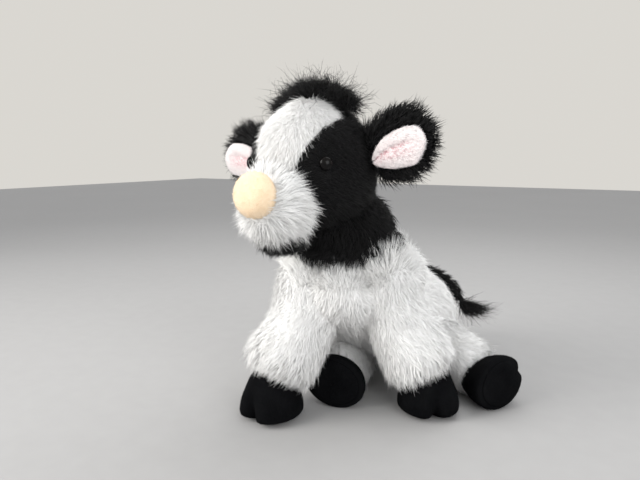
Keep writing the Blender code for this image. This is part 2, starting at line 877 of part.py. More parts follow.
def build_hindlegs(skin, torso_clear, floor, foreleg_spaces):
    for hand, word in ((1, "left"), (-1, "right")):
        hip, foot, way = hindleg_line(hand)
        limit = left_hip_range if hand > 0 else right_hip_range
        root = hip - way * hindleg_radius * hindleg_root_share
        path = bow(root, (root + foot) / 2, foot)
        leg = limb_form(f"hindleg_{word}", path, hindleg_radius, hindleg_shares, skin["white_pile"])
        clear = limb_form(
            f"hindleg_clear_{word}", path, hindleg_radius, hindleg_shares, None, seam_gap
        )
        cut_through_sweep(leg, torso_clear, hip, (0, 0, 1), 0, limit)
        combine(leg, floor)
        set_origin(leg, hip)
        flat_way = Vector((way.x, way.y, 0)).normalized()
        sole_way = (flat_way + Vector((0, 0, math.tan(hind_hoof_tilt)))).normalized()
        sole = foot + sole_way * hoof_height / 2
        top = foot - sole_way * hoof_height / 2
        toe = Vector((-flat_way.y * hand, flat_way.x * hand, toe_rise_share))
        size = (hind_hoof_half_width, hind_hoof_half_length, hind_cleft_share)
        foot_pieces = build_foot("hind", word, size, top, sole, toe, skin, as_cutter(clear), hip, floor)
        for piece in (leg, *foot_pieces):
            for space in foreleg_spaces:
                combine(piece, space)


def tail_line():
    """The tail's root on the rump, its tip, the way it bows between them and its hinge axis.
    A positive turn lifts it off the rump."""
    t = np.array([(rump_back_reach - tail_back) / (rump_back_reach + chest_front_reach)])
    middle = float(torso_path(t)[0, 2])
    wide, high = float(torso_half_width(t)[0]), float(torso_half_height(t)[0])
    root = Vector((0, tail_back, middle + high))
    tip = root + Vector((tail_side, tail_reach, -tail_drop))
    across, above = math.sin(tail_rest_angle), math.cos(tail_rest_angle)
    slope = float(torso_slope(0, np.array([tail_rest_angle - math.pi / 2]))[0])
    rest = Vector((wide * across * slope, tail_back + tail_reach / 2, middle + high * above * slope))
    rest += Vector((high * across, 0, wide * above)).normalized() * tail_radius * tail_rest_share
    bulge = (rest - (root + tip) / 2) * 2
    return root, tip, bulge, (tip - root).cross(bulge).normalized()


def build_tail(skin, torso_clear):
    root, tip, bulge, axis = tail_line()
    inside = root - Vector((0, 0, tail_root_depth))
    middle = (root + tip) / 2 + bulge
    line = bow(inside, middle, tip)
    ends = tail_end_shares
    tail = limb_form("tail", line, tail_radius, tail_shares, skin["black_pile"], 0, ends)
    clear = limb_form("tail_clear", line, tail_radius, tail_shares, None, seam_gap, ends)
    way = (tip - middle).normalized()
    end = tip + Vector((tail_tuft_side, tail_tuft_reach, -tail_tuft_drop))
    line = bow(tip - way * tail_radius, tip + way * tail_tuft_radius, end)
    radius = tail_tuft_radius
    ends = tuft_end_shares
    tuft = limb_form("tail_tuft", line, radius, tuft_shares, skin["black_pile"], 0, ends)
    combine(tuft, as_cutter(clear))
    for piece in (tail, tuft):
        cut_through_sweep(piece, torso_clear, root, axis, 0, tail_range)
        set_origin(piece, root)


clear_scene()
skin = {name: material(name, *values) for name, values in finishes.items()}
reach = chest_front_reach + rump_half_width + left_foot_out
floor = as_cutter(box("ground", (-reach, -2 * reach, -3 * overrun), (reach, reach, 0)))
torso_clear = as_cutter(torso_form("torso_clear", None, grow=turn_gap))
build_torso(skin)
build_neck(skin)
build_head(skin)
build_ears(skin)
build_hair(skin)
foreleg_spaces = build_forelegs(skin, torso_clear, floor)
build_hindlegs(skin, torso_clear, floor, foreleg_spaces)
build_tail(skin, torso_clear)
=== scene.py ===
import math

import bpy
import numpy as np
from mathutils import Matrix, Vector


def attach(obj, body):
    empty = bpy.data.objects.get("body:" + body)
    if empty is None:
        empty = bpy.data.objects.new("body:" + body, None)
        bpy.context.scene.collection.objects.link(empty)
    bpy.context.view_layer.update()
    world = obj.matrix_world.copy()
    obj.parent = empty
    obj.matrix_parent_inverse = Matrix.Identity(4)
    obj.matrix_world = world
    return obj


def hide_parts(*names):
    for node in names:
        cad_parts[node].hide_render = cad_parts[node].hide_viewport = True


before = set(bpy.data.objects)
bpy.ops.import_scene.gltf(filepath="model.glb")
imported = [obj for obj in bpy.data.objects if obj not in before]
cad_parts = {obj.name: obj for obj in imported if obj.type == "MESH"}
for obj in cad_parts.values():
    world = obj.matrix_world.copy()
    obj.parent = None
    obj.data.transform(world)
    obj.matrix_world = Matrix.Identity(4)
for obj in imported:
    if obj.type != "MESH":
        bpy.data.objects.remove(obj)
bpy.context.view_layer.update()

# A sitting plush calf. Every stuffed piece is a skin drawn inside its CAD solid, and its pile is
# modelled as strands that fill the rest of that solid. Lengths are in metres. Left and right are the
# calf's own, and hand is 1 on its left and -1 on its right.

hands = ((1, "left"), (-1, "right"))


def unit(v):
    return v / np.maximum(np.linalg.norm(v, axis=-1, keepdims=True), 1e-9)


def array(*values):
    return np.array(values, dtype=float)


# 0 up to zero, then rising evenly to 1 at width
def ramp(x, width):
    return np.clip(x / width, 0, 1)


# Bell curve of a distance over its width
def bell(x, width):
    return np.exp(-((x / width) ** 2))


# Cubic curve through values at even stations, read at t
def spread(values, t):
    values = np.array(values, dtype=float)
    slopes = np.gradient(values)
    place = np.clip(t, 0, 1) * (len(values) - 1)
    low = np.minimum(place.astype(int), len(values) - 2)
    f = place - low
    return (
        (2 * f**3 - 3 * f**2 + 1) * values[low]
        + (f**3 - 2 * f**2 + f) * slopes[low]
        + (3 * f**2 - 2 * f**3) * values[low + 1]
        + (f**3 - f**2) * slopes[low + 1]
    )


# 1 along a form, falling to 0 as an ellipse does over the shares first and last at its ends
def rounded(t, first, last):
    start = ramp(first - t, first)
    end = ramp(t - 1 + last, last)
    return np.sqrt(1 - np.maximum(start, end) ** 2)


# Stations from 0 to 1 that stand closer at the ends: half of 1 less the cosine
def evenRound(rings):
    return (1 - np.cos(np.pi * np.arange(rings + 1) / rings)) / 2


# Quadratic curve from start to end with control point middle
def bow(start, middle, end):
    a, b, c = (np.array(p, dtype=float) for p in (start, middle, end))
    return lambda t: (
        np.multiply.outer((1 - t) ** 2, a)
        + np.multiply.outer(2 * t * (1 - t), b)
        + np.multiply.outer(t**2, c)
    )


# A form round a line. Its half width is wide, and its half height high, times the curve of the shares
# at t and times the rounding of its ends. side is the way that its width lies
def form(path, wide, high, side, ends=(0.5, 0.5), shares=(1, 1), highShares=None):
    highShares = highShares or shares
    return {
        "path": path,
        "wide": lambda t: wide * spread(shares, t) * rounded(t, *ends),
        "high": lambda t: high * spread(highShares, t) * rounded(t, *ends),
        "side": side,
    }


# Middle line, tangent and the two section directions of a form at stations t. across is the side
# direction made square to the tangent, above is tangent x across
def lineFrame(shape, t):
    step = 1e-3
    middle = shape["path"](t)
    tangent = unit(shape["path"](np.minimum(t + step, 1)) - shape["path"](np.maximum(t - step, 0)))
    side = np.array(shape["side"], dtype=float)
    across = unit(side - tangent * (tangent @ side)[:, None])
    return middle, tangent, across, np.cross(tangent, across)


# Point at station t and angle a: middle + across * wide(t) cos a + above * high(t) sin a, both times
# around(t, a) where the form has it
def surface(shape, t, angle):
    middle, tangent, across, above = lineFrame(shape, t)
    scale = shape["around"](t[:, None], angle[None, :]) if "around" in shape else 1.0
    wide = (shape["wide"](t)[:, None] * scale * np.cos(angle))[..., None]
    high = (shape["high"](t)[:, None] * scale * np.sin(angle))[..., None]
    return middle[:, None] + wide * across[:, None] + high * above[:, None]


# Grid of rings and sides on a form, closed by two poles. Each point moves inward by depth(point)
# along the normal, which is the cross product of the steps around and along
def formGrid(shape, rings, sides, depth):
    t = evenRound(rings)
    angle = 2 * np.pi * np.arange(sides) / sides
    points = surface(shape, t[1:-1], angle)
    around = np.roll(points, -1, axis=1) - np.roll(points, 1, axis=1)
    poles, tangents = lineFrame(shape, t[[0, -1]])[:2]
    first, last = (np.repeat(pole[None, None], sides, 1) for pole in poles)
    padded = np.concatenate([first, points, last])
    along = padded[2:] - padded[:-2]
    inward = depth(points) if depth else np.zeros(points.shape[:2])
    skin = points - unit(np.cross(around, along)) * inward[..., None]
    start = poles[0] + tangents[0] * inward[0].mean()
    end = poles[1] - tangents[1] * inward[-1].mean()
    return np.vstack([start[None], skin.reshape(-1, 3), end[None]])


# Faces of a closed grid of so many rows with a pole at each end, all turned outward
def gridFaces(rows, sides):
    j = np.arange(sides)
    k = (j + 1) % sides
    row = (1 + np.arange(rows - 1) * sides)[:, None]
    quads = np.stack([row + j, row + k, row + sides + k, row + sides + j], axis=-1).reshape(-1, 4)
    end = 1 + rows * sides
    firstCap = np.stack([0 * j, 1 + k, 1 + j], 1)
    lastCap = np.stack([0 * j + end, end - sides + j, end - sides + k], 1)
    return [quads, np.vstack([firstCap, lastCap])]


# Smooth mesh from points and groups of faces, each group an array of corner numbers
def meshFrom(name, points, groups):
    mesh = bpy.data.meshes.new(name)
    corners = np.concatenate([g.ravel() for g in groups]).astype(np.int32)
    sizes = np.concatenate([np.full(len(g), g.shape[1]) for g in groups])
    starts = np.concatenate([[0], np.cumsum(sizes)[:-1]]).astype(np.int32)
    mesh.vertices.add(len(points))
    mesh.vertices.foreach_set("co", np.ascontiguousarray(points, dtype=np.float32).ravel())
    mesh.loops.add(len(corners))
    mesh.loops.foreach_set("vertex_index", corners)
    mesh.polygons.add(len(starts))
    mesh.polygons.foreach_set("loop_start", starts)
    mesh.polygons.foreach_set("use_smooth", np.ones(len(starts), bool))
    mesh.update(calc_edges=True)
    mesh.validate()
    return mesh


def place(name, mesh, finish=None):
    made = bpy.data.objects.new(name, mesh)
    bpy.context.scene.collection.objects.link(made)
    if finish:
        mesh.materials.append(finish)
    return made


# Gives a piece its body, and hides the CAD nodes that it stands for
def settle(piece, body, stands=()):
    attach(piece, body)
    if stands:
        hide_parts(*stands)
    return piece


# Puts the modifiers' result into the mesh for good
def applied(piece):
    bpy.context.view_layer.update()
    graph = bpy.context.evaluated_depsgraph_get()
    made = bpy.data.meshes.new_from_object(piece.evaluated_get(graph))
    piece.modifiers.clear()
    old = piece.data
    piece.data = made
    bpy.data.meshes.remove(old)
    made.name = piece.name


# Cuts the cutters out of the piece, and the cutters go
def carve(piece, cutters):
    for cutter in cutters:
        step = piece.modifiers.new(cutter.name, "BOOLEAN")
        step.operation = "DIFFERENCE"
        step.solver = "EXACT"
        step.object = cutter
    applied(piece)
    for cutter in cutters:
        bpy.data.objects.remove(cutter)
    piece.data.shade_smooth()
    return piece


# The same form drawn in by a distance: its sections shrink by it and its ends come in along the line
def shrunk(shape, by):
    t = np.linspace(0, 1, 101)
    share = by / np.linalg.norm(np.diff(shape["path"](t), axis=0), axis=1).sum()
    wide = 1 - by / shape["wide"](t).max()
    high = 1 - by / shape["high"](t).max()
    made = dict(shape)
    made["path"] = lambda t: shape["path"](share + (1 - 2 * share) * t)
    made["wide"] = lambda t: shape["wide"](t) * wide
    made["high"] = lambda t: shape["high"](t) * high
    return made


# A closed skin on a form drawn in by inset, each point then moved inward by depth(point)
def skinPiece(name, shape, grid, inset, finish=None, depth=None):
    rings, sides = grid
    points = formGrid(shrunk(shape, inset), rings, sides, depth)
    return place(name, meshFrom(name, points, gridFaces(rings - 1, sides)), finish)


stuffing = {"pressure": 4, "steps": 20, "quality": 6, "bending": 0.3}


# Swells a piece as stuffing does: a voxel remesh, Cloth under pressure without gravity, each point
# moved by no more than most, then one subdivision, all applied
def stuffed(piece, voxel, most):
    scene = bpy.context.scene
    remesh = piece.modifiers.new("remesh", "REMESH")
    remesh.mode = "VOXEL"
    remesh.voxel_size = voxel
    applied(piece)
    count = len(piece.data.vertices)
    before = np.empty(count * 3, np.float32)
    piece.data.vertices.foreach_get("co", before)
    cloth = piece.modifiers.new("cloth", "CLOTH")
    cloth.settings.use_pressure = True
    cloth.settings.uniform_pressure_force = stuffing["pressure"]
    cloth.settings.effector_weights.gravity = 0
    cloth.settings.quality = stuffing["quality"]
    cloth.settings.bending_stiffness = stuffing["bending"]
    cloth.point_cache.frame_start = 1
    cloth.point_cache.frame_end = stuffing["steps"]
    for step in range(1, stuffing["steps"] + 1):
        scene.frame_set(step)
    graph = bpy.context.evaluated_depsgraph_get()
    after = np.empty(count * 3, np.float32)
    piece.evaluated_get(graph).data.vertices.foreach_get("co", after)
    piece.modifiers.clear()
    scene.frame_set(1)
    move = (after - before).reshape(-1, 3)
    move -= move.mean(0)
    far = np.linalg.norm(move, axis=1, keepdims=True)
    move *= np.minimum(1, most / np.maximum(far, 1e-9))
    piece.data.vertices.foreach_set("co", before + move.ravel())
    finer = piece.modifiers.new("finer", "SUBSURF")
    finer.levels = finer.render_levels = 1
    applied(piece)
    piece.data.shade_smooth()
    print(f"{piece.name}: stuffed, {count} points, largest move {1000 * float(far.max()):.1f} mm")
    return piece


# Solid turned round an axis from (distance along it, radius) pairs. The ring's two directions are
# square to the axis and to each other
def turnedPiece(name, profile, axis, origin, finish=None, sides=48):
    profile = np.array(profile, dtype=float)
    way = unit(np.array(axis, dtype=float))
    side = unit(np.cross(way, array(1, 0.2, 0.1)))
    above = np.cross(way, side)
    angle = 2 * np.pi * np.arange(sides) / sides
    ring = np.cos(angle)[:, None] * side + np.sin(angle)[:, None] * above
    rows = origin + profile[1:-1, :1, None] * way + profile[1:-1, 1:, None] * ring
    ends = origin + profile[[0, -1], :1] * way
    points = np.vstack([ends[:1], rows.reshape(-1, 3), ends[1:]])
    return place(name, meshFrom(name, points, gridFaces(len(profile) - 2, sides)), finish)


# Number of the nearest of places to each point, worked out in blocks to save memory
def nearest(points, places, block=1500):
    blocks = np.array_split(points, 1 + len(points) // block)
    return np.concatenate([((part[:, None] - places) ** 2).sum(-1).argmin(1) for part in blocks])


# Where points lie in a form: the station of the nearest of 160 places on its middle line, and the
# section coordinates there as shares of its half width and half height, both grown by grow
def within(shape, points, grow=0.0):
    t = np.linspace(0, 1, 160)
    middle, tangent, across, above = lineFrame(shape, t)
    station = nearest(points, middle)
    away = points - middle[station]
    thinnest = 1e-4
    wide = (away * across[station]).sum(-1) / np.maximum(shape["wide"](t)[station] + grow, thinnest)
    high = (away * above[station]).sum(-1) / np.maximum(shape["high"](t)[station] + grow, thinnest)
    return t[station], wide, high


# Points inside a form grown by grow: wide squared plus high squared is under 1, short of its poles
def inside(shape, points, grow=0.0):
    t, wide, high = within(shape, points, grow)
    pole = 0.005
    return (wide**2 + high**2 < 1) & (t > pole) & (t < 1 - pole)


# Smooth wavering from -1 to 1: the mean of four sine waves of about that wavelength
def ripple(points, wavelength, seed):
    source = np.random.default_rng(seed)
    ways = unit(source.normal(size=(4, 3))) * 2 * np.pi / wavelength * source.uniform(0.7, 1.4, (4, 1))
    return np.sin(points @ ways.T + source.uniform(0, 6.3, 4)).mean(-1) * 1.3


# Random places on a piece, so many to a square millimetre, as points and blended vertex normals. In
# a triangle the place is a (1 - u - v) + b u + c v, with u and v folded back where they pass 1
def scatter(piece, density, source):
    mesh = piece.data
    mesh.calc_loop_triangles()
    corner = np.empty(len(mesh.loop_triangles) * 3, np.int32)
    mesh.loop_triangles.foreach_get("vertices", corner)
    corner = corner.reshape(-1, 3)
    points = np.empty(len(mesh.vertices) * 3, np.float32)
    mesh.vertices.foreach_get("co", points)
    points = points.reshape(-1, 3).astype(float)
    normals = np.empty(len(mesh.vertices) * 3, np.float32)
    mesh.vertex_normals.foreach_get("vector", normals)
    normals = normals.reshape(-1, 3).astype(float)
    a, b, c = points[corner].transpose(1, 0, 2)
    area = np.linalg.norm(np.cross(b - a, c - a), axis=1) / 2
    count = int(density * area.sum() * 1e6)
    pick = source.choice(len(area), count, p=area / area.sum())
    u, v = source.random((2, count, 1))
    flip = u + v > 1
    u, v = np.where(flip, 1 - u, u), np.where(flip, 1 - v, v)
    where = a[pick] * (1 - u - v) + b[pick] * u + c[pick] * v
    na, nb, nc = normals[corner[pick]].transpose(1, 0, 2)
    return where, unit(na * (1 - u - v) + nb * u + nc * v)


# What every pile shares unless its own dictionary says otherwise
anyPile = {
    "leanVary": 7,  # degrees
    "curl": (0.7, 1.3),  # least and most of a strand's bend, as shares
    "flat": 1.0,  # a strand's thickness over its width
    "taper": 0.55,  # share of its radius lost from root to tip
    "lengthShares": (0.35, 1.7),  # least and most of the pile's length
    "leastBend": 0.05,
    "rootDepth": 0.0004,  # under the skin
    "lowestRoot": 0.0008,  # over the floor
    "lowestPoint": 0.0007,
    "swirlSize": 0.035,
    "pull": (0.6, 1.1),  # least and most of gather, as shares
    "coreMargin": 0.001,  # how far a tip may reach into a cleared form
    "radiusShares": (0.75, 1.25),
    "spinVary": 0.3,
    "toneSize": 0.012,  # of the patches that differ in tone
    "toneWave": 0.25,
    "toneVary": 0.14,
    "givenToneVary": 0.05,  # where a function gives the tone
    "toneEnds": (0.02, 0.97),
}


# Strand roots: scattered places that keep passes, over the floor and outside the cleared forms
def strandRoots(skin, style, source, keep, clear):
    root, normal = scatter(skin, style["density"], source)
    chosen = root[:, 2] > style["lowestRoot"]
    if keep:
        chosen &= keep(root)
    for shape, grow in clear:
        chosen &= ~inside(shape, root, grow)
    return root[chosen], normal[chosen]


# Strand lines. A strand leaves at the angle lean from the normal and turns by bend towards way, so
# at share s it is (sin(lean + bend s) - sin lean) / bend up and (cos lean - cos(lean + bend s)) / bend
# forth, times its length. Then it is drawn to its lock's leading strand by gather times s, and wavers
def strandLines(root, normal, way, style, source, seed, longer, upright):
    count = len(root)
    stations = np.array(style["stations"])
    way = unit(way - normal * (way * normal).sum(-1, keepdims=True))
    turn = style["swirl"] * ripple(root, style["swirlSize"], seed + 1)
    turn = (turn + source.normal(0, style["stray"], count))[:, None]
    way = way * np.cos(turn) + np.cross(normal, way) * np.sin(turn)
    length = style["length"] * np.clip(1 + source.normal(0, style["vary"], count), *style["lengthShares"])
    if longer:
        length = length * longer(root)
    first, last = style["lean"]
    lean = np.radians(first + source.normal(0, style["leanVary"], count))
    bend = np.radians(last - first) * source.uniform(*style["curl"], count)
    if upright:
        lean = lean * (1 - upright(root))
    bend = np.where(np.abs(bend) < style["leastBend"], style["leastBend"], bend)
    angle = lean[:, None] + bend[:, None] * stations
    up = ((np.sin(angle) - np.sin(lean)[:, None]) / bend[:, None])[..., None]
    forth = ((np.cos(lean)[:, None] - np.cos(angle)) / bend[:, None])[..., None]
    start = (root - normal * style["rootDepth"])[:, None]
    line = start + length[:, None, None] * (normal[:, None] * up + way[:, None] * forth)
    leader = source.choice(count, max(1, count // style["lock"]), replace=False)
    led = leader[nearest(root, root[leader])]
    drawn = (style["gather"] * stations**1.1)[None, :, None] * source.uniform(*style["pull"], (count, 1, 1))
    line = line + (line[led] - line) * drawn
    loose = (length[:, None] * style["waver"] * stations)[..., None]
    line = line + source.normal(0, 1, (count, len(stations), 3)) * loose
    line[..., 2] = np.maximum(line[..., 2], style["lowestPoint"])
    return line


# Closed blades round the lines: at share s three corners at radius (1 - taper s), flattened by flat
# across the skin, then a tip. Returns the points, how many a strand has, and the faces
def strandBlades(line, normal, style, source):
    count, rings = len(line), line.shape[1] - 1
    stations = np.array(style["stations"])
    step = unit(np.gradient(line, axis=1))
    side = unit(np.cross(step, normal[:, None]) + 1e-6)
    above = np.cross(side, step)
    radius = style["radius"] * source.uniform(*style["radiusShares"], count)
    radius = radius[:, None] * (1 - style["taper"] * stations[:-1])
    spin = np.pi / 2 + source.normal(0, style["spinVary"], count)[:, None] + np.arange(3) * 2 * np.pi / 3
    cosine, sine = np.cos(spin)[:, None, :, None], np.sin(spin)[:, None, :, None]
    ring = side[:, :-1, None] * cosine + above[:, :-1, None] * style["flat"] * sine
    corners = line[:, :-1, None] + ring * radius[..., None, None]
    points = np.concatenate([corners.reshape(count, -1, 3), line[:, -1:]], axis=1)
    size = rings * 3 + 1
    base = (np.arange(count) * size)[:, None]
    j = np.arange(3)
    k = (j + 1) % 3
    low = (np.arange(rings - 1) * 3)[:, None]
    sides = np.stack([low + j, low + 3 + j, low + 3 + k, low + k], -1).reshape(-1, 4)
    foot = np.array([[0, 1, 2]])
    tip = np.stack([j + (rings - 1) * 3, np.full(3, size - 1), k + (rings - 1) * 3], -1)
    groups = [(base + g.ravel()).reshape(-1, g.shape[1]) for g in (sides, foot, tip) if len(g)]
    return points.reshape(-1, 3), size, groups


# The maps Strand and OFBake, alike: tone across, and the share from root to tip upward. Each corner
# is nudged a little, so that no face has zero area there
def strandMap(mesh, shade, stations, size):
    rings = len(stations) - 1
    share = np.append(np.repeat(stations[:-1], 3), 1.0)
    nudge = np.append(np.tile(array(0, 0.006, 0.012), rings), 0.006)
    corner = np.empty(len(mesh.loops), np.int32)
    mesh.loops.foreach_get("vertex_index", corner)
    uv = np.stack([shade[corner // size] + nudge[corner % size], share[corner % size] * 0.98 + 0.01], -1)
    for label in ("Strand", "OFBake"):
        layer = mesh.uv_layers.new(name=label)
        layer.data.foreach_set("uv", uv.astype(np.float32).ravel())


# Grows a pile on a skin, combed by comb(root, normal). keep(root) chooses roots, clear lists forms
# to stay out of with how far each is grown, longer(root) scales the length, upright(root) lowers the
# lean and tone(root) gives the tone. With rootsOnly, tips may reach into the cleared forms. A soft
# pile is shaded with its skin's normals, scattered a little
def growPile(
    name, skin, pile, comb, body, slotName, seed,
    keep=None, clear=(), longer=None, upright=None, tone=None, rootsOnly=False,
):
    style = dict(anyPile, **pile)
    source = np.random.default_rng(seed)
    root, normal = strandRoots(skin, style, source, keep, clear)
    line = strandLines(root, normal, comb(root, normal), style, source, seed, longer, upright)
    held = np.ones(len(root), bool)
    for shape, grow in () if rootsOnly else clear:
        for station in (-1, line.shape[1] // 2):
            held &= ~inside(shape, line[:, station], grow - style["coreMargin"])
    line, normal, root = line[held], normal[held], root[held]
    points, size, groups = strandBlades(line, normal, style, source)
    mesh = meshFrom(name, points, groups)
    if tone:
        shade = tone(root) + source.normal(0, style["givenToneVary"], len(root))
    else:
        shade = 0.5 + style["toneWave"] * ripple(root, style["toneSize"], seed + 2)
        shade = shade + source.normal(0, style["toneVary"], len(root))
    strandMap(mesh, np.clip(shade, *style["toneEnds"]), np.array(style["stations"]), size)
    if "soft" in style:
        shading = unit(normal + source.normal(0, style["soft"], normal.shape))
        mesh.normals_split_custom_set_from_vertices(np.repeat(shading, size, axis=0))
    settle(place(name, mesh, strandFinish[slotName]), body)
    print(f"{name}: {len(root)} strands")


# Materials


def newMaterial(name):
    made = bpy.data.materials.new(name)
    made.use_nodes = True
    return made, made.node_tree.nodes, made.node_tree.links, made.node_tree.nodes["Principled BSDF"]


# Node group: a colour between dark and light by the strand's tone, darkened towards its root as painted
# shade, for the shade that the strands cast on each other there
def strandGroup():
    group = bpy.data.node_groups.new("strand_shade", "ShaderNodeTree")
    for name in ("Dark", "Light"):
        group.interface.new_socket(name=name, in_out="INPUT", socket_type="NodeSocketColor")
    group.interface.new_socket(name="RootPaintedShade", in_out="INPUT", socket_type="NodeSocketFloat")
    group.interface.new_socket(name="Colour", in_out="OUTPUT", socket_type="NodeSocketColor")
    nodes, links = group.nodes, group.links
    entry, leave = nodes.new("NodeGroupInput"), nodes.new("NodeGroupOutput")
    uv = nodes.new("ShaderNodeUVMap")
    uv.uv_map = "Strand"
    split = nodes.new("ShaderNodeSeparateXYZ")
    links.new(uv.outputs[0], split.inputs[0])
    mix = nodes.new("ShaderNodeMix")
    mix.data_type = "RGBA"
    links.new(split.outputs[0], mix.inputs[0])
    links.new(entry.outputs["Dark"], mix.inputs[6])
    links.new(entry.outputs["Light"], mix.inputs[7])
    # Painted shade: the colour is scaled by RootPaintedShade at the strand's root, rising to its full colour
    # at this share of the strand
    shade = nodes.new("ShaderNodeMapRange")
    shade.inputs[2].default_value = 0.55  # the share of a strand at which the shade ends
    links.new(split.outputs[1], shade.inputs[0])
    links.new(entry.outputs["RootPaintedShade"], shade.inputs[3])
    scaled = nodes.new("ShaderNodeVectorMath")
    scaled.operation = "SCALE"
    links.new(mix.outputs[2], scaled.inputs[0])
    links.new(shade.outputs[0], scaled.inputs[3])
    links.new(scaled.outputs[0], leave.inputs[0])
    return group


strandShade = strandGroup()


# rootPaintedShade is the painted shade at the strands' roots: the share of the colour left there
def makeStrandFinish(name, dark, light, rootPaintedShade, roughness=0.85, sheen=0.3, specular=0.25):
    made, nodes, links, shader = newMaterial(name)
    node = nodes.new("ShaderNodeGroup")
    node.node_tree = strandShade
    node.inputs["Dark"].default_value = (*dark, 1)
    node.inputs["Light"].default_value = (*light, 1)
    node.inputs["RootPaintedShade"].default_value = rootPaintedShade
    links.new(node.outputs[0], shader.inputs["Base Color"])
    shader.inputs["Roughness"].default_value = roughness
    shader.inputs["Sheen Weight"].default_value = sheen
    shader.inputs["Specular IOR Level"].default_value = specular
    return made


# Node group: a coarse and a fine noise, together as a mask, and the fine one as a bumped normal
def napGroup():
    group = bpy.data.node_groups.new("nap", "ShaderNodeTree")
    for name in ("Coarse", "Fine", "Height"):
        group.interface.new_socket(name=name, in_out="INPUT", socket_type="NodeSocketFloat")
    group.interface.new_socket(name="Mask", in_out="OUTPUT", socket_type="NodeSocketFloat")
    group.interface.new_socket(name="Normal", in_out="OUTPUT", socket_type="NodeSocketVector")
    nodes, links = group.nodes, group.links
    entry, leave = nodes.new("NodeGroupInput"), nodes.new("NodeGroupOutput")
    where = nodes.new("ShaderNodeTexCoord")
    coarse, fine = nodes.new("ShaderNodeTexNoise"), nodes.new("ShaderNodeTexNoise")
    for noise, name in ((coarse, "Coarse"), (fine, "Fine")):
        links.new(where.outputs["Object"], noise.inputs["Vector"])
        links.new(entry.outputs[name], noise.inputs["Scale"])
        noise.inputs["Detail"].default_value = 4
    bump = nodes.new("ShaderNodeBump")
    bump.inputs["Distance"].default_value = 0.001
    links.new(entry.outputs["Height"], bump.inputs["Strength"])
    links.new(fine.outputs["Fac"], bump.inputs["Height"])
    both = nodes.new("ShaderNodeMath")
    both.operation = "ADD"
    links.new(coarse.outputs["Fac"], both.inputs[0])
    links.new(fine.outputs["Fac"], both.inputs[1])
    stretch = nodes.new("ShaderNodeMapRange")
    stretch.inputs[1].default_value = 0.7  # the sum that gives 0
    stretch.inputs[2].default_value = 1.3  # and the sum that gives 1
    links.new(both.outputs[0], stretch.inputs[0])
    links.new(stretch.outputs[0], leave.inputs["Mask"])
    links.new(bump.outputs[0], leave.inputs["Normal"])
    return group


nap = napGroup()


# scales are the coarse and the fine noise's, height is the bump's
def makeClothFinish(name, dark, light, scales, height, roughness, sheen=0, specular=0.2):
    made, nodes, links, shader = newMaterial(name)
    node = nodes.new("ShaderNodeGroup")
    node.node_tree = nap
    node.inputs["Coarse"].default_value, node.inputs["Fine"].default_value = scales
    node.inputs["Height"].default_value = height
    mix = nodes.new("ShaderNodeMix")
    mix.data_type = "RGBA"
    mix.inputs[6].default_value = (*dark, 1)
    mix.inputs[7].default_value = (*light, 1)
    links.new(node.outputs["Mask"], mix.inputs[0])
    links.new(mix.outputs[2], shader.inputs["Base Color"])
    links.new(node.outputs["Normal"], shader.inputs["Normal"])
    shader.inputs["Roughness"].default_value = roughness
    shader.inputs["Sheen Weight"].default_value = sheen
    shader.inputs["Specular IOR Level"].default_value = specular
    return made


# The strands' finishes, by the record's slot. Each is darkened towards the strands' roots by
# rootPaintedShade, which is painted shade for the shade among the strands
strandLooks = {
    "white_pile": {
        "name": "white_strand", "dark": (0.95, 0.94, 0.915), "light": (0.985, 0.98, 0.965),
        "rootPaintedShade": 0.97,
    },
    "black_pile": {
        "name": "black_strand", "dark": (0.0025, 0.0025, 0.003), "light": (0.013, 0.0125, 0.013),
        "rootPaintedShade": 0.5, "roughness": 0.6, "sheen": 0.02, "specular": 0.24,
    },
    "black_velvet": {
        "name": "velvet_strand", "dark": (0.0040, 0.0042, 0.0050), "light": (0.0110, 0.0120, 0.0135),
        "rootPaintedShade": 0.6, "roughness": 0.8, "sheen": 0, "specular": 0,
    },
    # The fleece's colours are its own white rim and pink middle, lowered in part as painted shade for the
    # shade that the ear lining lies in
    "pink_fleece": {
        "name": "fleece_strand", "dark": (0.82, 0.795, 0.79), "light": (0.66, 0.27, 0.31),
        "rootPaintedShade": 0.9, "roughness": 0.9, "sheen": 0.2,
    },
    "peach_velour": {
        "name": "felt_strand", "dark": (0.88, 0.68, 0.46), "light": (0.94, 0.78, 0.57),
        "rootPaintedShade": 0.9, "roughness": 0.9, "sheen": 0.2,
    },
}
strandFinish = {slot: makeStrandFinish(**look) for slot, look in strandLooks.items()}

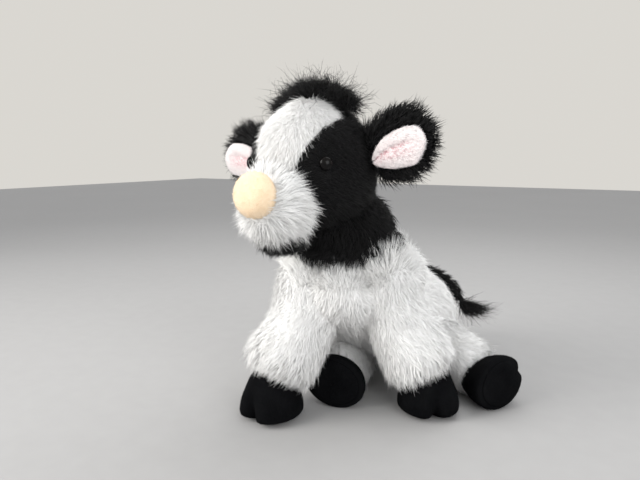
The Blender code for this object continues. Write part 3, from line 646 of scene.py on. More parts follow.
# The skins' and smooth pieces' finishes
clothLooks = {
    "white_backing": {
        "dark": (0.92, 0.91, 0.89), "light": (0.97, 0.965, 0.955), "scales": (90, 700),
        "height": 0.6, "roughness": 0.95, "sheen": 0.3,
    },
    "black_backing": {
        "dark": (0.003, 0.003, 0.0035), "light": (0.008, 0.008, 0.0085), "scales": (90, 700),
        "height": 0.6, "roughness": 0.95, "sheen": 0.03,
    },
    "velvet": {
        "dark": (0.0020, 0.0021, 0.0025), "light": (0.0060, 0.0062, 0.0068), "scales": (60, 1400),
        "height": 0.35, "roughness": 0.9, "specular": 0.03,
    },
    "felt": {
        "dark": (0.87, 0.66, 0.44), "light": (0.93, 0.75, 0.54), "scales": (120, 1300),
        "height": 0.5, "roughness": 0.92, "sheen": 0.2,
    },
    # The lining's backing colours are its own whitish pink, lowered in part as painted shade for the shade
    # that the ear lining lies in
    "fleece": {
        "dark": (0.80, 0.70, 0.69), "light": (0.83, 0.77, 0.76), "scales": (150, 900),
        "height": 0.6, "roughness": 0.95, "sheen": 0.2,
    },
    "pouch_weave": {
        "dark": (0.62, 0.60, 0.54), "light": (0.74, 0.72, 0.66), "scales": (200, 1800),
        "height": 0.5, "roughness": 0.9, "sheen": 0.1,
    },
    "washer_moulded": {
        "dark": (0.70, 0.70, 0.68), "light": (0.78, 0.78, 0.76), "scales": (150, 900),
        "height": 0.08, "roughness": 0.45, "specular": 0.5,
    },
    "eye_gloss": {
        "dark": (0.003, 0.003, 0.003), "light": (0.006, 0.005, 0.005), "scales": (80, 500),
        "height": 0.01, "roughness": 0.16, "specular": 0.12,
    },
    "floor_matt": {
        "dark": (0.37, 0.365, 0.36), "light": (0.385, 0.38, 0.375), "scales": (3, 60),
        "height": 0.02, "roughness": 0.8, "specular": 0.1,
    },
}
clothFinish = {name: makeClothFinish(name, **look) for name, look in clothLooks.items()}
whiteSkin, blackSkin = clothFinish["white_backing"], clothFinish["black_backing"]
print("materials made")

# Camera as the photograph's: 0.53 m away, 0.2 m up, tipped 9 degrees down

view = {
    "place": (0.1901, -0.4953, 0.200),
    "heading": math.radians(30),  # to the left of straight ahead
    "tip": math.radians(9),
    "focalLength": 30.375,  # millimetres
    "sensorWidth": 36,
}
lens = bpy.data.cameras.new("camera")
lens.lens = view["focalLength"]
lens.sensor_width = view["sensorWidth"]
camera = bpy.data.objects.new("camera", lens)
bpy.context.scene.collection.objects.link(camera)
camera.location = view["place"]
level = math.cos(view["tip"])
ahead = Vector((
    -math.sin(view["heading"]) * level,
    math.cos(view["heading"]) * level,
    -math.sin(view["tip"]),
))
camera.rotation_euler = ahead.to_track_quat("-Z", "Y").to_euler()
bpy.context.scene.camera = camera

# Lamps

lampSpread = math.radians(110)
lamps = {
    "key": {
        "place": (-0.80, -0.95, 0.66), "target": (0, -0.08, 0.12), "size": 0.9, "power": 6.4,
        "colour": (1, 0.985, 0.96),
    },
    "fill": {
        "place": (1.00, -0.70, 0.46), "target": (0, -0.08, 0.10), "size": 0.9, "power": 3.0,
        "colour": (0.98, 0.99, 1),
    },
    "top": {
        "place": (0.05, 0.45, 1.05), "target": (0, -0.06, 0.10), "size": 1.0, "power": 2.0,
        "colour": (1, 1, 1),
    },
}
for name, lamp in lamps.items():
    data = bpy.data.lights.new(name, "AREA")
    data.shape = "DISK"
    data.size = lamp["size"]
    data.spread = lampSpread
    data.energy = lamp["power"]
    data.color = lamp["colour"]
    made = bpy.data.objects.new(name, data)
    made.location = lamp["place"]
    made.rotation_euler = (Vector(lamp["target"]) - made.location).to_track_quat("-Z", "Y").to_euler()
    bpy.context.scene.collection.objects.link(made)

# World: a pale wall for the camera and for what glossy or clear pieces show, daylight for the rest

backdrop = {
    "wall": (0.70, 0.68, 0.64, 1),
    "daylight": (0.97, 0.98, 1.0, 1),
    "daylightStrength": 0.88,
    "floorHalf": 3,
}
world = bpy.data.worlds.new("studio")
world.use_nodes = True
nodes, links = world.node_tree.nodes, world.node_tree.links
wall = nodes["Background"]
wall.inputs[0].default_value = backdrop["wall"]
daylight = nodes.new("ShaderNodeBackground")
daylight.inputs[0].default_value = backdrop["daylight"]
daylight.inputs[1].default_value = backdrop["daylightStrength"]
seen = nodes.new("ShaderNodeLightPath")
either = nodes.new("ShaderNodeMixShader")
mirrored, direct = nodes.new("ShaderNodeMath"), nodes.new("ShaderNodeMath")
mirrored.operation = direct.operation = "MAXIMUM"
links.new(seen.outputs["Is Glossy Ray"], mirrored.inputs[0])
links.new(seen.outputs["Is Transmission Ray"], mirrored.inputs[1])
links.new(seen.outputs["Is Camera Ray"], direct.inputs[0])
links.new(mirrored.outputs[0], direct.inputs[1])
links.new(direct.outputs[0], either.inputs[0])
links.new(daylight.outputs[0], either.inputs[1])
links.new(wall.outputs[0], either.inputs[2])
links.new(either.outputs[0], nodes["World Output"].inputs[0])
bpy.context.scene.world = world
bpy.context.scene.view_settings.view_transform = "Standard"

corners = array((-1, -1, 0), (1, -1, 0), (1, 1, 0), (-1, 1, 0)) * backdrop["floorHalf"]
floor = place("floor", meshFrom("floor", corners, [np.array([[0, 1, 2, 3]])]), clothFinish["floor_matt"])
print("stage set")

# Torso, a form from the rump's end at t = 0 to the chest's front at t = 1

torsoLook = {
    "rumpHalfWidth": 0.053,
    "rumpHeight": 0.098,
    "flatDepth": 0.0005,  # how deep the rump is cut flat underneath
    "backReach": 0.052,
    "chestHalfWidth": 0.041,
    "chestDepth": 0.070,
    "frontReach": 0.164,
    "chestHeight": 0.097,  # of the chest's middle
    "widthShares": (0.0, 0.0, 0.12, 0.62, 0.95, 1.0),  # of the way from the rump's width to the chest's
    "riseShares": (0.0, 0.0, 0.04, 0.50, 0.95, 1.0),
    "roundShare": 0.85,  # of the reach behind the seat, rounds in
    "slopeShare": 0.12,  # how far the back's shoulders draw in
    "grid": (72, 72),
    "inset": 0.0051,
    "waver": 0.0012,
    "waverSize": 0.05,
    "voxel": 0.0055,
    "swell": 0.004,
}
torsoLength = torsoLook["backReach"] + torsoLook["frontReach"]
seatShare = torsoLook["backReach"] / torsoLength
torsoEnds = (seatShare * torsoLook["roundShare"], seatShare)
rumpHalfHeight = torsoLook["rumpHeight"] / 2
rumpMiddle = rumpHalfHeight * math.cos(math.pi / 16) - torsoLook["flatDepth"]


# Straight forward, and up from the rump's middle to the chest's by the rise's shares
def torsoPath(t):
    rise = (torsoLook["chestHeight"] - rumpMiddle) * spread(torsoLook["riseShares"], t)
    return np.stack([0 * t, torsoLook["backReach"] - torsoLength * t, rumpMiddle + rise], axis=-1)


def torsoWide(t):
    narrower = torsoLook["rumpHalfWidth"] - torsoLook["chestHalfWidth"]
    half = torsoLook["rumpHalfWidth"] - narrower * spread(torsoLook["widthShares"], t)
    return half * rounded(t, *torsoEnds)


def torsoHigh(t):
    lower = rumpHalfHeight - torsoLook["chestDepth"] / 2
    return (rumpHalfHeight - lower * spread(torsoLook["riseShares"], t)) * rounded(t, *torsoEnds)


# 1 less the slope's share where the section's angle lies halfway between top and side
def torsoAround(t, angle):
    above = np.clip(-np.sin(angle), 0, 1) + 0 * t
    return 1 - torsoLook["slopeShare"] * above * np.abs(np.sin(2 * angle))


torsoShape = {
    "path": torsoPath, "wide": torsoWide, "high": torsoHigh, "side": (-1, 0, 0), "around": torsoAround,
}

# Neck, a flared stub under the ball that the head nods on

neckLook = {
    "lean": math.radians(9),
    "side": 0.005,  # towards the calf's right
    "forward": 0.113,
    "sink": 0.005,  # of its seat below the top of the chest
    "length": 0.010,  # from its seat to the ball's middle
    "flare": [(0.0025, 0), (0.0025, 0.0425), (0.0065, 0.0392)],  # height over the seat, radius
    "ballRadius": 0.0355,
    "roomRadius": 0.0385,
}
neckAxis = array(0, -math.sin(neckLook["lean"]), math.cos(neckLook["lean"]))
chestTop = torsoLook["chestHeight"] + torsoLook["chestDepth"] / 2
neckSeat = array(-neckLook["side"], -neckLook["forward"], chestTop - neckLook["sink"])
neckMiddle = neckSeat + neckAxis * neckLook["length"]


# Distance from the neck's axis and height above its seat
def neckPlace(points):
    away = points - neckSeat
    rise = away @ neckAxis
    return np.linalg.norm(away - rise[..., None] * neckAxis, axis=-1), rise


# Half circle's profile round the neck ball's middle, from the angle low up to its top
def ballProfile(radius, low, count):
    return [
        (neckLook["length"] + radius * math.sin(a), radius * math.cos(a))
        for a in np.linspace(low, math.pi / 2, count)
    ]


# Head

headLook = {
    "turn": math.radians(5),  # towards the calf's right
    "side": 0.018,
    "forward": 0.020,
    "rise": 0.054,  # of its middle over the neck ball's
    "halfWidth": 0.048,
    "halfHeight": 0.052,
    "halfDepth": 0.051,
    "ends": (0.40, 0.5),
    "widthShares": (0.90, 0.96, 1.0, 1.0, 0.95, 0.86),  # from under the jaw to the crown
    "depthShares": (0.86, 0.96, 1.0, 1.0, 0.98, 0.92),
    "grid": (80, 96),
    "inset": 0.0025,
    "blazeRoom": 0.0042,  # how much deeper the skin lies under the white panel
    "blazeMargin": 0.0006,
}
skullMiddle = neckMiddle + array(-headLook["side"], -headLook["forward"], headLook["rise"])
faceLeft = array(math.cos(headLook["turn"]), -math.sin(headLook["turn"]), 0)
faceForward = array(-math.sin(headLook["turn"]), -math.cos(headLook["turn"]), 0)
upward = array(0, 0, 1)


def onHead(left, forward, up):
    left, forward, up = (np.asarray(v, dtype=float)[..., None] for v in (left, forward, up))
    return skullMiddle + faceLeft * left + faceForward * forward + upward * up


# Left, forward and up of points from the skull's middle
def headPlace(points):
    away = points - skullMiddle
    return away @ faceLeft, away @ faceForward, away[..., 2]


skullShape = form(
    bow(onHead(0, 0, -headLook["halfHeight"]), skullMiddle, onHead(0, 0, headLook["halfHeight"])),
    headLook["halfWidth"], headLook["halfDepth"], faceLeft, headLook["ends"],
    headLook["widthShares"], headLook["depthShares"],
)

# Muzzle, nose and chin

muzzleLook = {
    "halfWidth": 0.0262,
    "halfHeight": 0.0295,
    "reach": 0.023,  # past the skull
    "drop": 0.0255,  # of its middle below the skull's
    "rootShare": 0.5,  # of the skull's half depth
    "ends": (0.2, 0.4),
    "shares": (1.04, 1.04, 1.0, 0.94, 0.88),
    "grid": (40, 48),
    "inset": 0.0050,
}
muzzleRoot = onHead(0, headLook["halfDepth"] * muzzleLook["rootShare"], -muzzleLook["drop"])
muzzleTip = onHead(0, headLook["halfDepth"] + muzzleLook["reach"], -muzzleLook["drop"])
muzzleMiddle = (muzzleRoot + muzzleTip) / 2
muzzleShape = form(
    bow(muzzleRoot, muzzleMiddle, muzzleTip), muzzleLook["halfWidth"], muzzleLook["halfHeight"],
    faceLeft, muzzleLook["ends"], muzzleLook["shares"],
)

noseLook = {
    "halfWidth": 0.0168,
    "halfHeight": 0.0165,
    "halfDepth": 0.0125,
    "rise": 0.0075,  # over the muzzle's middle
    "sink": 0.005,
    "grid": (40, 56),
    "inset": 0.0006,
}
noseMiddle = muzzleTip - faceForward * noseLook["sink"] + upward * noseLook["rise"]
noseReach = faceForward * noseLook["halfDepth"]
noseShape = form(
    bow(noseMiddle - noseReach, noseMiddle, noseMiddle + noseReach),
    noseLook["halfWidth"], noseLook["halfHeight"], faceLeft,
)

chinLook = {
    "halfWidth": 0.0150,
    "halfHeight": 0.0085,
    "halfLength": 0.0170,
    "back": 0.010,  # of its middle behind the muzzle's
    "grid": (24, 32),
    "inset": 0.0020,
}
chinDrop = muzzleLook["halfHeight"] - chinLook["halfHeight"] / 2
chinMiddle = muzzleMiddle - faceForward * chinLook["back"] - upward * chinDrop
chinReach = faceForward * chinLook["halfLength"]
chinShape = form(
    bow(chinMiddle - chinReach, chinMiddle, chinMiddle + chinReach),
    chinLook["halfWidth"], chinLook["halfHeight"], faceLeft,
)

# Blaze, the white panel down the face

blazeLook = {
    "heights": (-0.060, -0.0255, 0.0, 0.0218, 0.051, 0.060),  # over the skull's middle
    "halfWidths": (0.015, 0.015, 0.015, 0.024, 0.037, 0.037),
    "edge": 0.002,  # over which its outline fades
    "lowest": 0.03,  # below the skull's middle
    "slab": (-0.026, 0.0503),  # heights of the backing
    "slabGrid": (60, 40),
    "widestShare": 0.97,  # of the skull's half width
    "depths": (0.0030, 0.0060),  # of the backing's two sides under the skull's outline
}


def blazeHalf(up):
    return np.interp(up, blazeLook["heights"], blazeLook["halfWidths"])


# 1 inside the panel's outline and 0 outside, fading evenly over its edge
def blazeMask(points, margin=0.0):
    left, forward, up = headPlace(points)
    room = blazeHalf(up) + margin - np.abs(left)
    across = np.clip(room / blazeLook["edge"] + 0.5, 0, 1)
    return across * (forward > 0) * (up > -blazeLook["lowest"] - margin)


# Ears and their linings

earLook = {
    "lift": {1: 0.016, -1: 0.006},  # of its tip over its root
    "sink": 0.007,  # of its root in the skull
    "back": 0.006,
    "rise": 0.004,
    "length": 0.048,
    "halfWidth": 0.026,
    "halfThickness": 0.0085,
    "bow": 0.4,
    "ends": (0.15, 0.3),
    "shares": (0.50, 0.78, 0.98, 1.0, 0.84, 0.62),
    "skinShares": (0.80, 0.92, 1.0, 1.0, 0.84, 0.62),  # broader at the root, where the pile parts
    "grid": (40, 40),
    "inset": 0.0028,
}
liningLook = {
    "length": 0.045,
    "out": 0.010,
    "front": 0.0085,
    "drop": 0.005,
    "halfWidth": 0.0145,
    "halfThickness": 0.0040,
    "ends": (0.3, 0.3),
    "shares": (0.60, 0.86, 1.0, 0.98, 0.80),
    "grid": (40, 48),
    "inset": 0.0012,
    "creaseDepth": 0.0016,
    "creaseAt": 0.16,  # share of the half width
    "creaseWidth": 0.13,
    "creaseEnd": (0.85, 0.3),  # where it ends along the ear, and the share over which it fades
}


# From a root sunk in the skull to a lifted tip, bowed back, with the root moved outward by out
def earPath(hand, length, out=0, front=0, drop=0):
    lift = array(0, 0, earLook["lift"][hand])
    sideways = faceLeft * hand
    rootOut = hand * (headLook["halfWidth"] - earLook["sink"])
    root = onHead(rootOut, front - earLook["back"], earLook["rise"] - drop)
    tip = root + sideways * (length + earLook["sink"]) + lift
    shift = sideways * out + lift * out / earLook["length"]
    bowed = faceForward * earLook["halfThickness"] * earLook["bow"]
    return bow(root + shift, (root + tip) / 2 - bowed + lift / 2 + shift, tip)


def earForm(hand, shares):
    return form(
        earPath(hand, earLook["length"]), earLook["halfWidth"], earLook["halfThickness"], (0, 0, 1),
        earLook["ends"], shares, earLook["shares"],
    )


earShapes = {hand: earForm(hand, earLook["shares"]) for hand, word in hands}
liningShapes = {
    hand: form(
        earPath(hand, *(liningLook[k] for k in ("length", "out", "front", "drop"))),
        liningLook["halfWidth"], liningLook["halfThickness"], (0, 0, 1),
        liningLook["ends"], liningLook["shares"], (1, 1),
    )
    for hand, word in hands
}

# Hair along the crown

hairLook = {
    "halfLength": 0.042,
    "halfThickness": 0.011,
    "halfHeight": 0.0115,
    "crownRise": 0.020,  # of its curve's control point over the crown
    "rootShare": 0.72,  # of the skull's half height
    "grid": (40, 32),
    "inset": 0.0055,
}
hairRoot = headLook["halfHeight"] * hairLook["rootShare"]
hairPath = bow(
    onHead(-hairLook["halfLength"], 0, hairRoot),
    onHead(0, 0, headLook["halfHeight"] + hairLook["crownRise"]),
    onHead(hairLook["halfLength"], 0, hairRoot),
)
hairShape = form(hairPath, hairLook["halfThickness"], hairLook["halfHeight"], faceForward)

# Legs


def limbForm(path, radius, shares, ends=(0.28, 0.16)):
    return form(path, radius, radius, (1, 0, 0), ends, shares)


foreLook = {
    "radius": 0.0305,
    "shares": (0.95, 0.96, 0.94, 0.98, 1.06, 1.06),
    "bow": 0.014,  # of its curve's control point towards the middle plane
    "rootShare": 0.9,  # of the radius, before the shoulder
    "shoulder": (0.031, -0.119, 0.105),  # on the left
    "ankleHeight": 0.030,
    "step": {1: -0.014, -1: 0.054},  # forward of the shoulder
    "splay": {1: 0.032, -1: 0.008},  # outward of the shoulder
    "skinShares": {1: (0.95, 0.93, 0.87, 0.88, 0.98, 1.06), -1: (1.20, 1.20, 1.13, 0.98, 0.97, 1.04)},
    "skinEnds": (0.28, 0.11),
    "grid": (56, 48),
    "inset": 0.0046,
    "waver": 0.0010,
    "waverSize": 0.035,
    "voxel": 0.0045,
    "swell": 0.002,
}
hindLook = {
    "radius": 0.026,
    "shares": (0.92, 1.05, 1.04, 1.0, 0.97, 0.92),
    "rootShare": 0.5,
    "hip": (0.030, -0.022, 0.034),  # on the left
    "foot": {1: (0.098, -0.064), -1: (-0.008, -0.121)},  # the hoof's middle on the floor
    "footShare": 0.95,  # of the hoof's half width, off the floor
    "grid": (48, 48),
    "inset": 0.0046,
    "waver": 0.0010,
    "waverSize": 0.035,
    "voxel": 0.0045,
    "swell": 0.003,
}
hoofLook = {
    "height": 0.042,
    "fore": {"halfWidth": 0.0230, "halfLength": 0.0245, "cleft": 0.42},
    "hind": {"halfWidth": 0.0195, "halfLength": 0.0245, "cleft": 0.16},
    "shares": (0.64, 0.70, 0.84, 0.98, 1.05, 1.0),
    "ends": (0.3, 0.15),
    "cleftStart": 0.31,  # of the way down the hoof
    "cleftGrowth": 0.63,  # the share over which it gets its full depth
    "cleftAngle": 0.24,
    "soleThickness": 0.0035,
    "hindTilt": math.radians(8),
    "hindToeRise": 0.3,
    "sides": 96,
    "hoofRings": 40,
    "soleRings": 12,
    "inset": 0.0004,
    "seamDepth": 0.0007,  # the bell curve's height and width
    "seamGap": 0.0003,
    "lowest": 0.0003,
    "legRoom": 0.0032,  # how far the leg's hollow is drawn in
}

foreLines, foreShapes = {}, {}
for hand, word in hands:
    shoulder = np.multiply(foreLook["shoulder"], (hand, 1, 1))
    splay, step = hand * foreLook["splay"][hand], -foreLook["step"][hand]
    ankle = shoulder + array(splay, step, foreLook["ankleHeight"] - foreLook["shoulder"][2])
    root = shoulder - unit(ankle - shoulder) * foreLook["radius"] * foreLook["rootShare"]
    foreLines[hand] = (ankle, splay)
    middle = (root + ankle) / 2 - array(hand * foreLook["bow"], 0, 0)
    foreShapes[hand] = limbForm(bow(root, middle, ankle), foreLook["radius"], foreLook["shares"])

hindLines, hindShapes = {}, {}
for hand, word in hands:
    hip = np.multiply(hindLook["hip"], (hand, 1, 1))
    ankle = array(*hindLook["foot"][hand], hoofLook["hind"]["halfWidth"] * hindLook["footShare"])
    way = unit(ankle - hip)
    root = hip - way * hindLook["radius"] * hindLook["rootShare"]
    hindLines[hand] = (ankle, way)
    hindShapes[hand] = limbForm(bow(root, (root + ankle) / 2, ankle), hindLook["radius"], hindLook["shares"])

# Tail, which hangs from the rump's top over its left side

tailLook = {
    "radius": 0.0050,
    "shares": (0.82, 0.86, 0.92, 1.0),
    "ends": (0.1, 0.1),
    "back": 0.034,  # of its root behind the seat
    "depth": 0.004,  # of its root in the rump
    "side": 0.046,  # of its tip from its root
    "reach": 0.006,
    "drop": 0.036,
    "restAngle": math.radians(45),  # of the rump's section, where it touches
    "restShare": 0.8,  # of its radius, over the rump
    "grid": (48, 20),
    "inset": 0.0020,
}
tuftLook = {
    "radius": 0.0090,
    "shares": (0.50, 0.80, 1.0, 0.80, 0.45),
    "ends": (0.2, 0.3),
    "reach": (0.026, 0.010, -0.006),  # of its end from the tail's
    "grid": (32, 20),
    "inset": 0.0055,
}
tailShare = array((torsoLook["backReach"] - tailLook["back"]) / torsoLength)
rumpHeight = float(torsoPath(tailShare)[0, 2])
rumpWide, rumpHigh = float(torsoWide(tailShare)[0]), float(torsoHigh(tailShare)[0])
tailRoot = array(0, tailLook["back"], rumpHeight + rumpHigh)
tailTip = tailRoot + array(tailLook["side"], tailLook["reach"], -tailLook["drop"])
restSine, restCosine = math.sin(tailLook["restAngle"]), math.cos(tailLook["restAngle"])
restSlope = float(torsoAround(tailShare, tailLook["restAngle"] - math.pi / 2)[0])
tailRest = array(
    rumpWide * restSine * restSlope,
    tailLook["back"] + tailLook["reach"] / 2,
    rumpHeight + rumpHigh * restCosine * restSlope,
)
restWay = unit(array(rumpHigh * restSine, 0, rumpWide * restCosine))
tailRest = tailRest + restWay * tailLook["radius"] * tailLook["restShare"]
tailMiddle = tailRest * 2 - (tailRoot + tailTip) / 2
tailStart = tailRoot - array(0, 0, tailLook["depth"])
tailShape = limbForm(
    bow(tailStart, tailMiddle, tailTip), tailLook["radius"], tailLook["shares"], tailLook["ends"]
)
tailWay = unit(tailTip - tailMiddle)
tuftStart, tuftBend = tailTip - tailWay * tailLook["radius"], tailTip + tailWay * tuftLook["radius"]
tuftShape = limbForm(
    bow(tuftStart, tuftBend, tailTip + tuftLook["reach"]),
    tuftLook["radius"], tuftLook["shares"], tuftLook["ends"],
)

# Skins of the torso, pouch and neck

# How the torso's skin swells up behind the neck to meet the collar
napeLook = {
    "underSeat": 0.0035,  # how far below the neck's seat it stops
    "most": 0.03,
    "reach": 0.071,  # from the neck's axis, where it ends
    "fade": 0.038,
    "lowest": 0.075,
    "rise": 0.02,
    "behind": 0.002,  # the neck's middle, where it starts
    "behindFade": 0.030,
}


# Evenly rising shares made to start and end softly: 3 x^2 - 2 x^3
def eased(x):
    return x * x * (3 - 2 * x)


# The room left under the collar's rim, in full near the neck's axis and fading to none at its reach,
# on the upper side behind the neck only
def napeSwell(points):
    out, rise = neckPlace(points)
    room = np.clip(-napeLook["underSeat"] - rise, 0, napeLook["most"])
    near = eased(ramp(napeLook["reach"] - out, napeLook["fade"]))
    upper = ramp(points[..., 2] - napeLook["lowest"], napeLook["rise"])
    behind = eased(ramp(points[..., 1] - neckSeat[1] - napeLook["behind"], napeLook["behindFade"]))
    return room * near * upper * behind


def torsoDepth(points):
    return torsoLook["waver"] * ripple(points, torsoLook["waverSize"], 3) - napeSwell(points)


torso = skinPiece("torso_skin", torsoShape, torsoLook["grid"], torsoLook["inset"], whiteSkin, torsoDepth)
stuffed(torso, torsoLook["voxel"], torsoLook["swell"])
settle(torso, "torso", ["torso"])

pouchLook = {
    "halfLength": 0.026,
    "halfWidth": 0.034,
    "halfHeight": 0.020,
    "height": 0.030,
    "grid": (32, 48),
    "inset": 0.0006,
    "waver": 0.0006,
    "waverSize": 0.008,  # about a pellet's
}


def pouchDepth(points):
    return pouchLook["waver"] * ripple(points, pouchLook["waverSize"], 5)


pouchPath = bow(*((0, way * pouchLook["halfLength"], pouchLook["height"]) for way in (1, 0, -1)))
pouchShape = form(pouchPath, pouchLook["halfWidth"], pouchLook["halfHeight"], (-1, 0, 0))
pouch = skinPiece(
    "pouch", pouchShape, pouchLook["grid"], pouchLook["inset"], clothFinish["pouch_weave"], pouchDepth
)
settle(pouch, "torso", ["pellet_pouch"])

neckProfile = neckLook["flare"] + ballProfile(neckLook["ballRadius"], 0, 14)
neck = turnedPiece("neck_skin", neckProfile, neckAxis, neckSeat, blackSkin)
settle(neck, "neck", ["neck"])

# Skins of the head and face

sewnGap = 0.0003


# Cutters in the shape of a neighbour, drawn in by inset
def skullRoom(inset):
    return skinPiece("skull_room", skullShape, (60, 72), inset)


def muzzleRoom():
    return skinPiece("muzzle_room", muzzleShape, muzzleLook["grid"], muzzleLook["inset"] - sewnGap)


def headDepth(points):
    return headLook["inset"] + headLook["blazeRoom"] * blazeMask(points, headLook["blazeMargin"])


head = skinPiece("head_skin", skullShape, headLook["grid"], 0, blackSkin, headDepth)
roomProfile = ballProfile(neckLook["roomRadius"], -math.pi / 2, 20)
carve(head, [turnedPiece("ball_room", roomProfile, neckAxis, neckSeat)])
settle(head, "head", ["head"])

muzzle = skinPiece("muzzle_skin", muzzleShape, muzzleLook["grid"], muzzleLook["inset"], whiteSkin)
carve(muzzle, [skullRoom(0.0015)])
settle(muzzle, "head", ["muzzle"])


# The blaze's backing: a slab on the skull from heights and shares of its half width. Its forward
# distance is deep(t) times the root of 1 less the square of left over wide(t), and each of its sides
# lies its depth under that along the normal, which is the gradient of the skull's ellipsoid
def blazeSlab():
    rows, columns = blazeLook["slabGrid"]
    up = np.linspace(*blazeLook["slab"], rows)
    t = (up / headLook["halfHeight"] + 1) / 2
    wide, deep = skullShape["wide"](t)[:, None], skullShape["high"](t)[:, None]
    half = np.minimum(blazeHalf(up)[:, None], wide * blazeLook["widestShare"])
    left = half * np.linspace(-1, 1, columns)
    forward = deep * np.sqrt(1 - (left / wide) ** 2)
    level = up[:, None] + 0 * left
    outer = onHead(left, forward, level)
    ahead = unit(np.stack([left / wide**2, forward / deep**2, level / headLook["halfHeight"] ** 2], -1))
    normal = ahead[..., :1] * faceLeft + ahead[..., 1:2] * faceForward + ahead[..., 2:] * upward
    points = np.vstack([(outer - normal * depth).reshape(-1, 3) for depth in blazeLook["depths"]])
    index = np.arange(rows * columns).reshape(rows, columns)
    front = np.stack([index[:-1, :-1], index[:-1, 1:], index[1:, 1:], index[1:, :-1]], -1).reshape(-1, 4)
    edge = np.concatenate([index[0, :], index[1:, -1], index[-1, -2::-1], index[-2:0:-1, 0]])
    following = np.roll(edge, -1)
    rim = np.stack([edge, edge + index.size, following + index.size, following], -1)
    return meshFrom("blaze_panel", points, [front, front[:, ::-1] + index.size, rim])


blaze = place("blaze_panel", blazeSlab(), whiteSkin)
settle(blaze, "head", ["blaze"])

nose = skinPiece("nose_ball", noseShape, noseLook["grid"], noseLook["inset"], clothFinish["felt"])
carve(nose, [muzzleRoom()])
settle(nose, "head", ["nose"])

chin = skinPiece("chin_skin", chinShape, chinLook["grid"], chinLook["inset"], blackSkin)
carve(chin, [muzzleRoom(), skullRoom(0.0015)])
settle(chin, "head", ["chin"])

# Eyes: a dome on its shank, turned round the way it looks

eyeLook = {
    "radius": 0.0048,
    "bulge": 0.0034,
    "turn": math.radians(45),  # from straight ahead
    "rise": 0.003,
    "edge": math.radians(20),  # how far the dome turns in below its widest ring
    "seatShare": 0.35,  # of the bulge, sunk in the skin
    "backRadius": 0.0046,
    "shankRadius": 0.0015,
    "shankLength": 0.012,
}
eyeProfile = [
    (-eyeLook["shankLength"], 0),
    (-eyeLook["shankLength"], eyeLook["shankRadius"]),
    (-eyeLook["bulge"], eyeLook["shankRadius"]),
    (-eyeLook["bulge"], eyeLook["backRadius"]),
]
eyeProfile += [
    (eyeLook["bulge"] * (math.sin(a) - eyeLook["seatShare"]), eyeLook["radius"] * math.cos(a))
    for a in np.linspace(-eyeLook["edge"], math.pi / 2, 24)
]
rise = eyeLook["rise"] / headLook["halfHeight"]
eyeShare = array((1 + rise) / 2)
skullWide, skullDeep = float(skullShape["wide"](eyeShare)[0]), float(skullShape["high"](eyeShare)[0])
eyes = {}
for hand, word in hands:
    left, forward = hand * math.sin(eyeLook["turn"]), math.cos(eyeLook["turn"])
    radius = 1 / math.sqrt((left / skullWide) ** 2 + (forward / skullDeep) ** 2)
    look = faceLeft * (left / skullWide**2) + faceForward * (forward / skullDeep**2)
    look = unit(look + upward * (rise / headLook["halfHeight"]))
    eyes[hand] = onHead(left * radius, forward * radius, eyeLook["rise"])
    eye = turnedPiece(f"eye_dome_{word}", eyeProfile, look, eyes[hand], clothFinish["eye_gloss"])
    settle(eye, "head", [f"eye_{word}"])
    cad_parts[f"washer_{word}"].material_slots[0].material = clothFinish["washer_moulded"]

# Skins of the ears and the hair


# A crease along the lining, where the ear folds: a bell curve across it that fades towards the tip
def creaseDepth(hand):
    def depth(points):
        t, wide, high = within(liningShapes[hand], points.reshape(-1, 3))
        end, fade = liningLook["creaseEnd"]
        share = bell(wide - liningLook["creaseAt"], liningLook["creaseWidth"]) * ramp(end - t, fade)
        return (liningLook["creaseDepth"] * share).reshape(points.shape[:-1])
    return depth


earRoomInset = 0.0026
ears, linings = {}, {}
for hand, word in hands:
    body = f"ear_{word}"
    broad = earForm(hand, earLook["skinShares"])
    ears[hand] = skinPiece(f"ear_skin_{word}", broad, earLook["grid"], earLook["inset"], blackSkin)
    carve(ears[hand], [skullRoom(0.0005)])
    settle(ears[hand], body, [body])
    linings[hand] = skinPiece(
        f"ear_fleece_{word}", liningShapes[hand], liningLook["grid"], liningLook["inset"],
        clothFinish["fleece"], creaseDepth(hand),
    )
    earRoom = skinPiece("ear_room", earShapes[hand], earLook["grid"], earRoomInset)
    carve(linings[hand], [earRoom, skullRoom(0.0005)])
    settle(linings[hand], body, [f"ear_lining_{word}"])

hair = skinPiece("hair_skin", hairShape, hairLook["grid"], hairLook["inset"], blackSkin)
carve(hair, [skullRoom(0.0020)])
settle(hair, "head", ["hair_tuft"])
print("head skins made")

# Skins of the legs, hooves and tail


# Form of a hoof from its top to its sole. At the toe it has a groove that deepens towards the sole,
# as a bell curve of the angle from the toe
def hoofForm(kind, top, sole, toe):
    size = hoofLook[kind]
    way = unit(sole - top)

    def cleft(t, angle):
        away = np.minimum(angle, 2 * np.pi - angle)
        depth = size["cleft"] * ramp(t - hoofLook["cleftStart"], hoofLook["cleftGrowth"])
        return 1 - depth * bell(away, hoofLook["cleftAngle"])

    made = form(
        bow(top, (top + sole) / 2, sole), size["halfLength"], size["halfWidth"],
        unit(toe - way * (way @ toe)), hoofLook["ends"], hoofLook["shares"],
    )
    return dict(made, around=cleft)


hoofs = {}


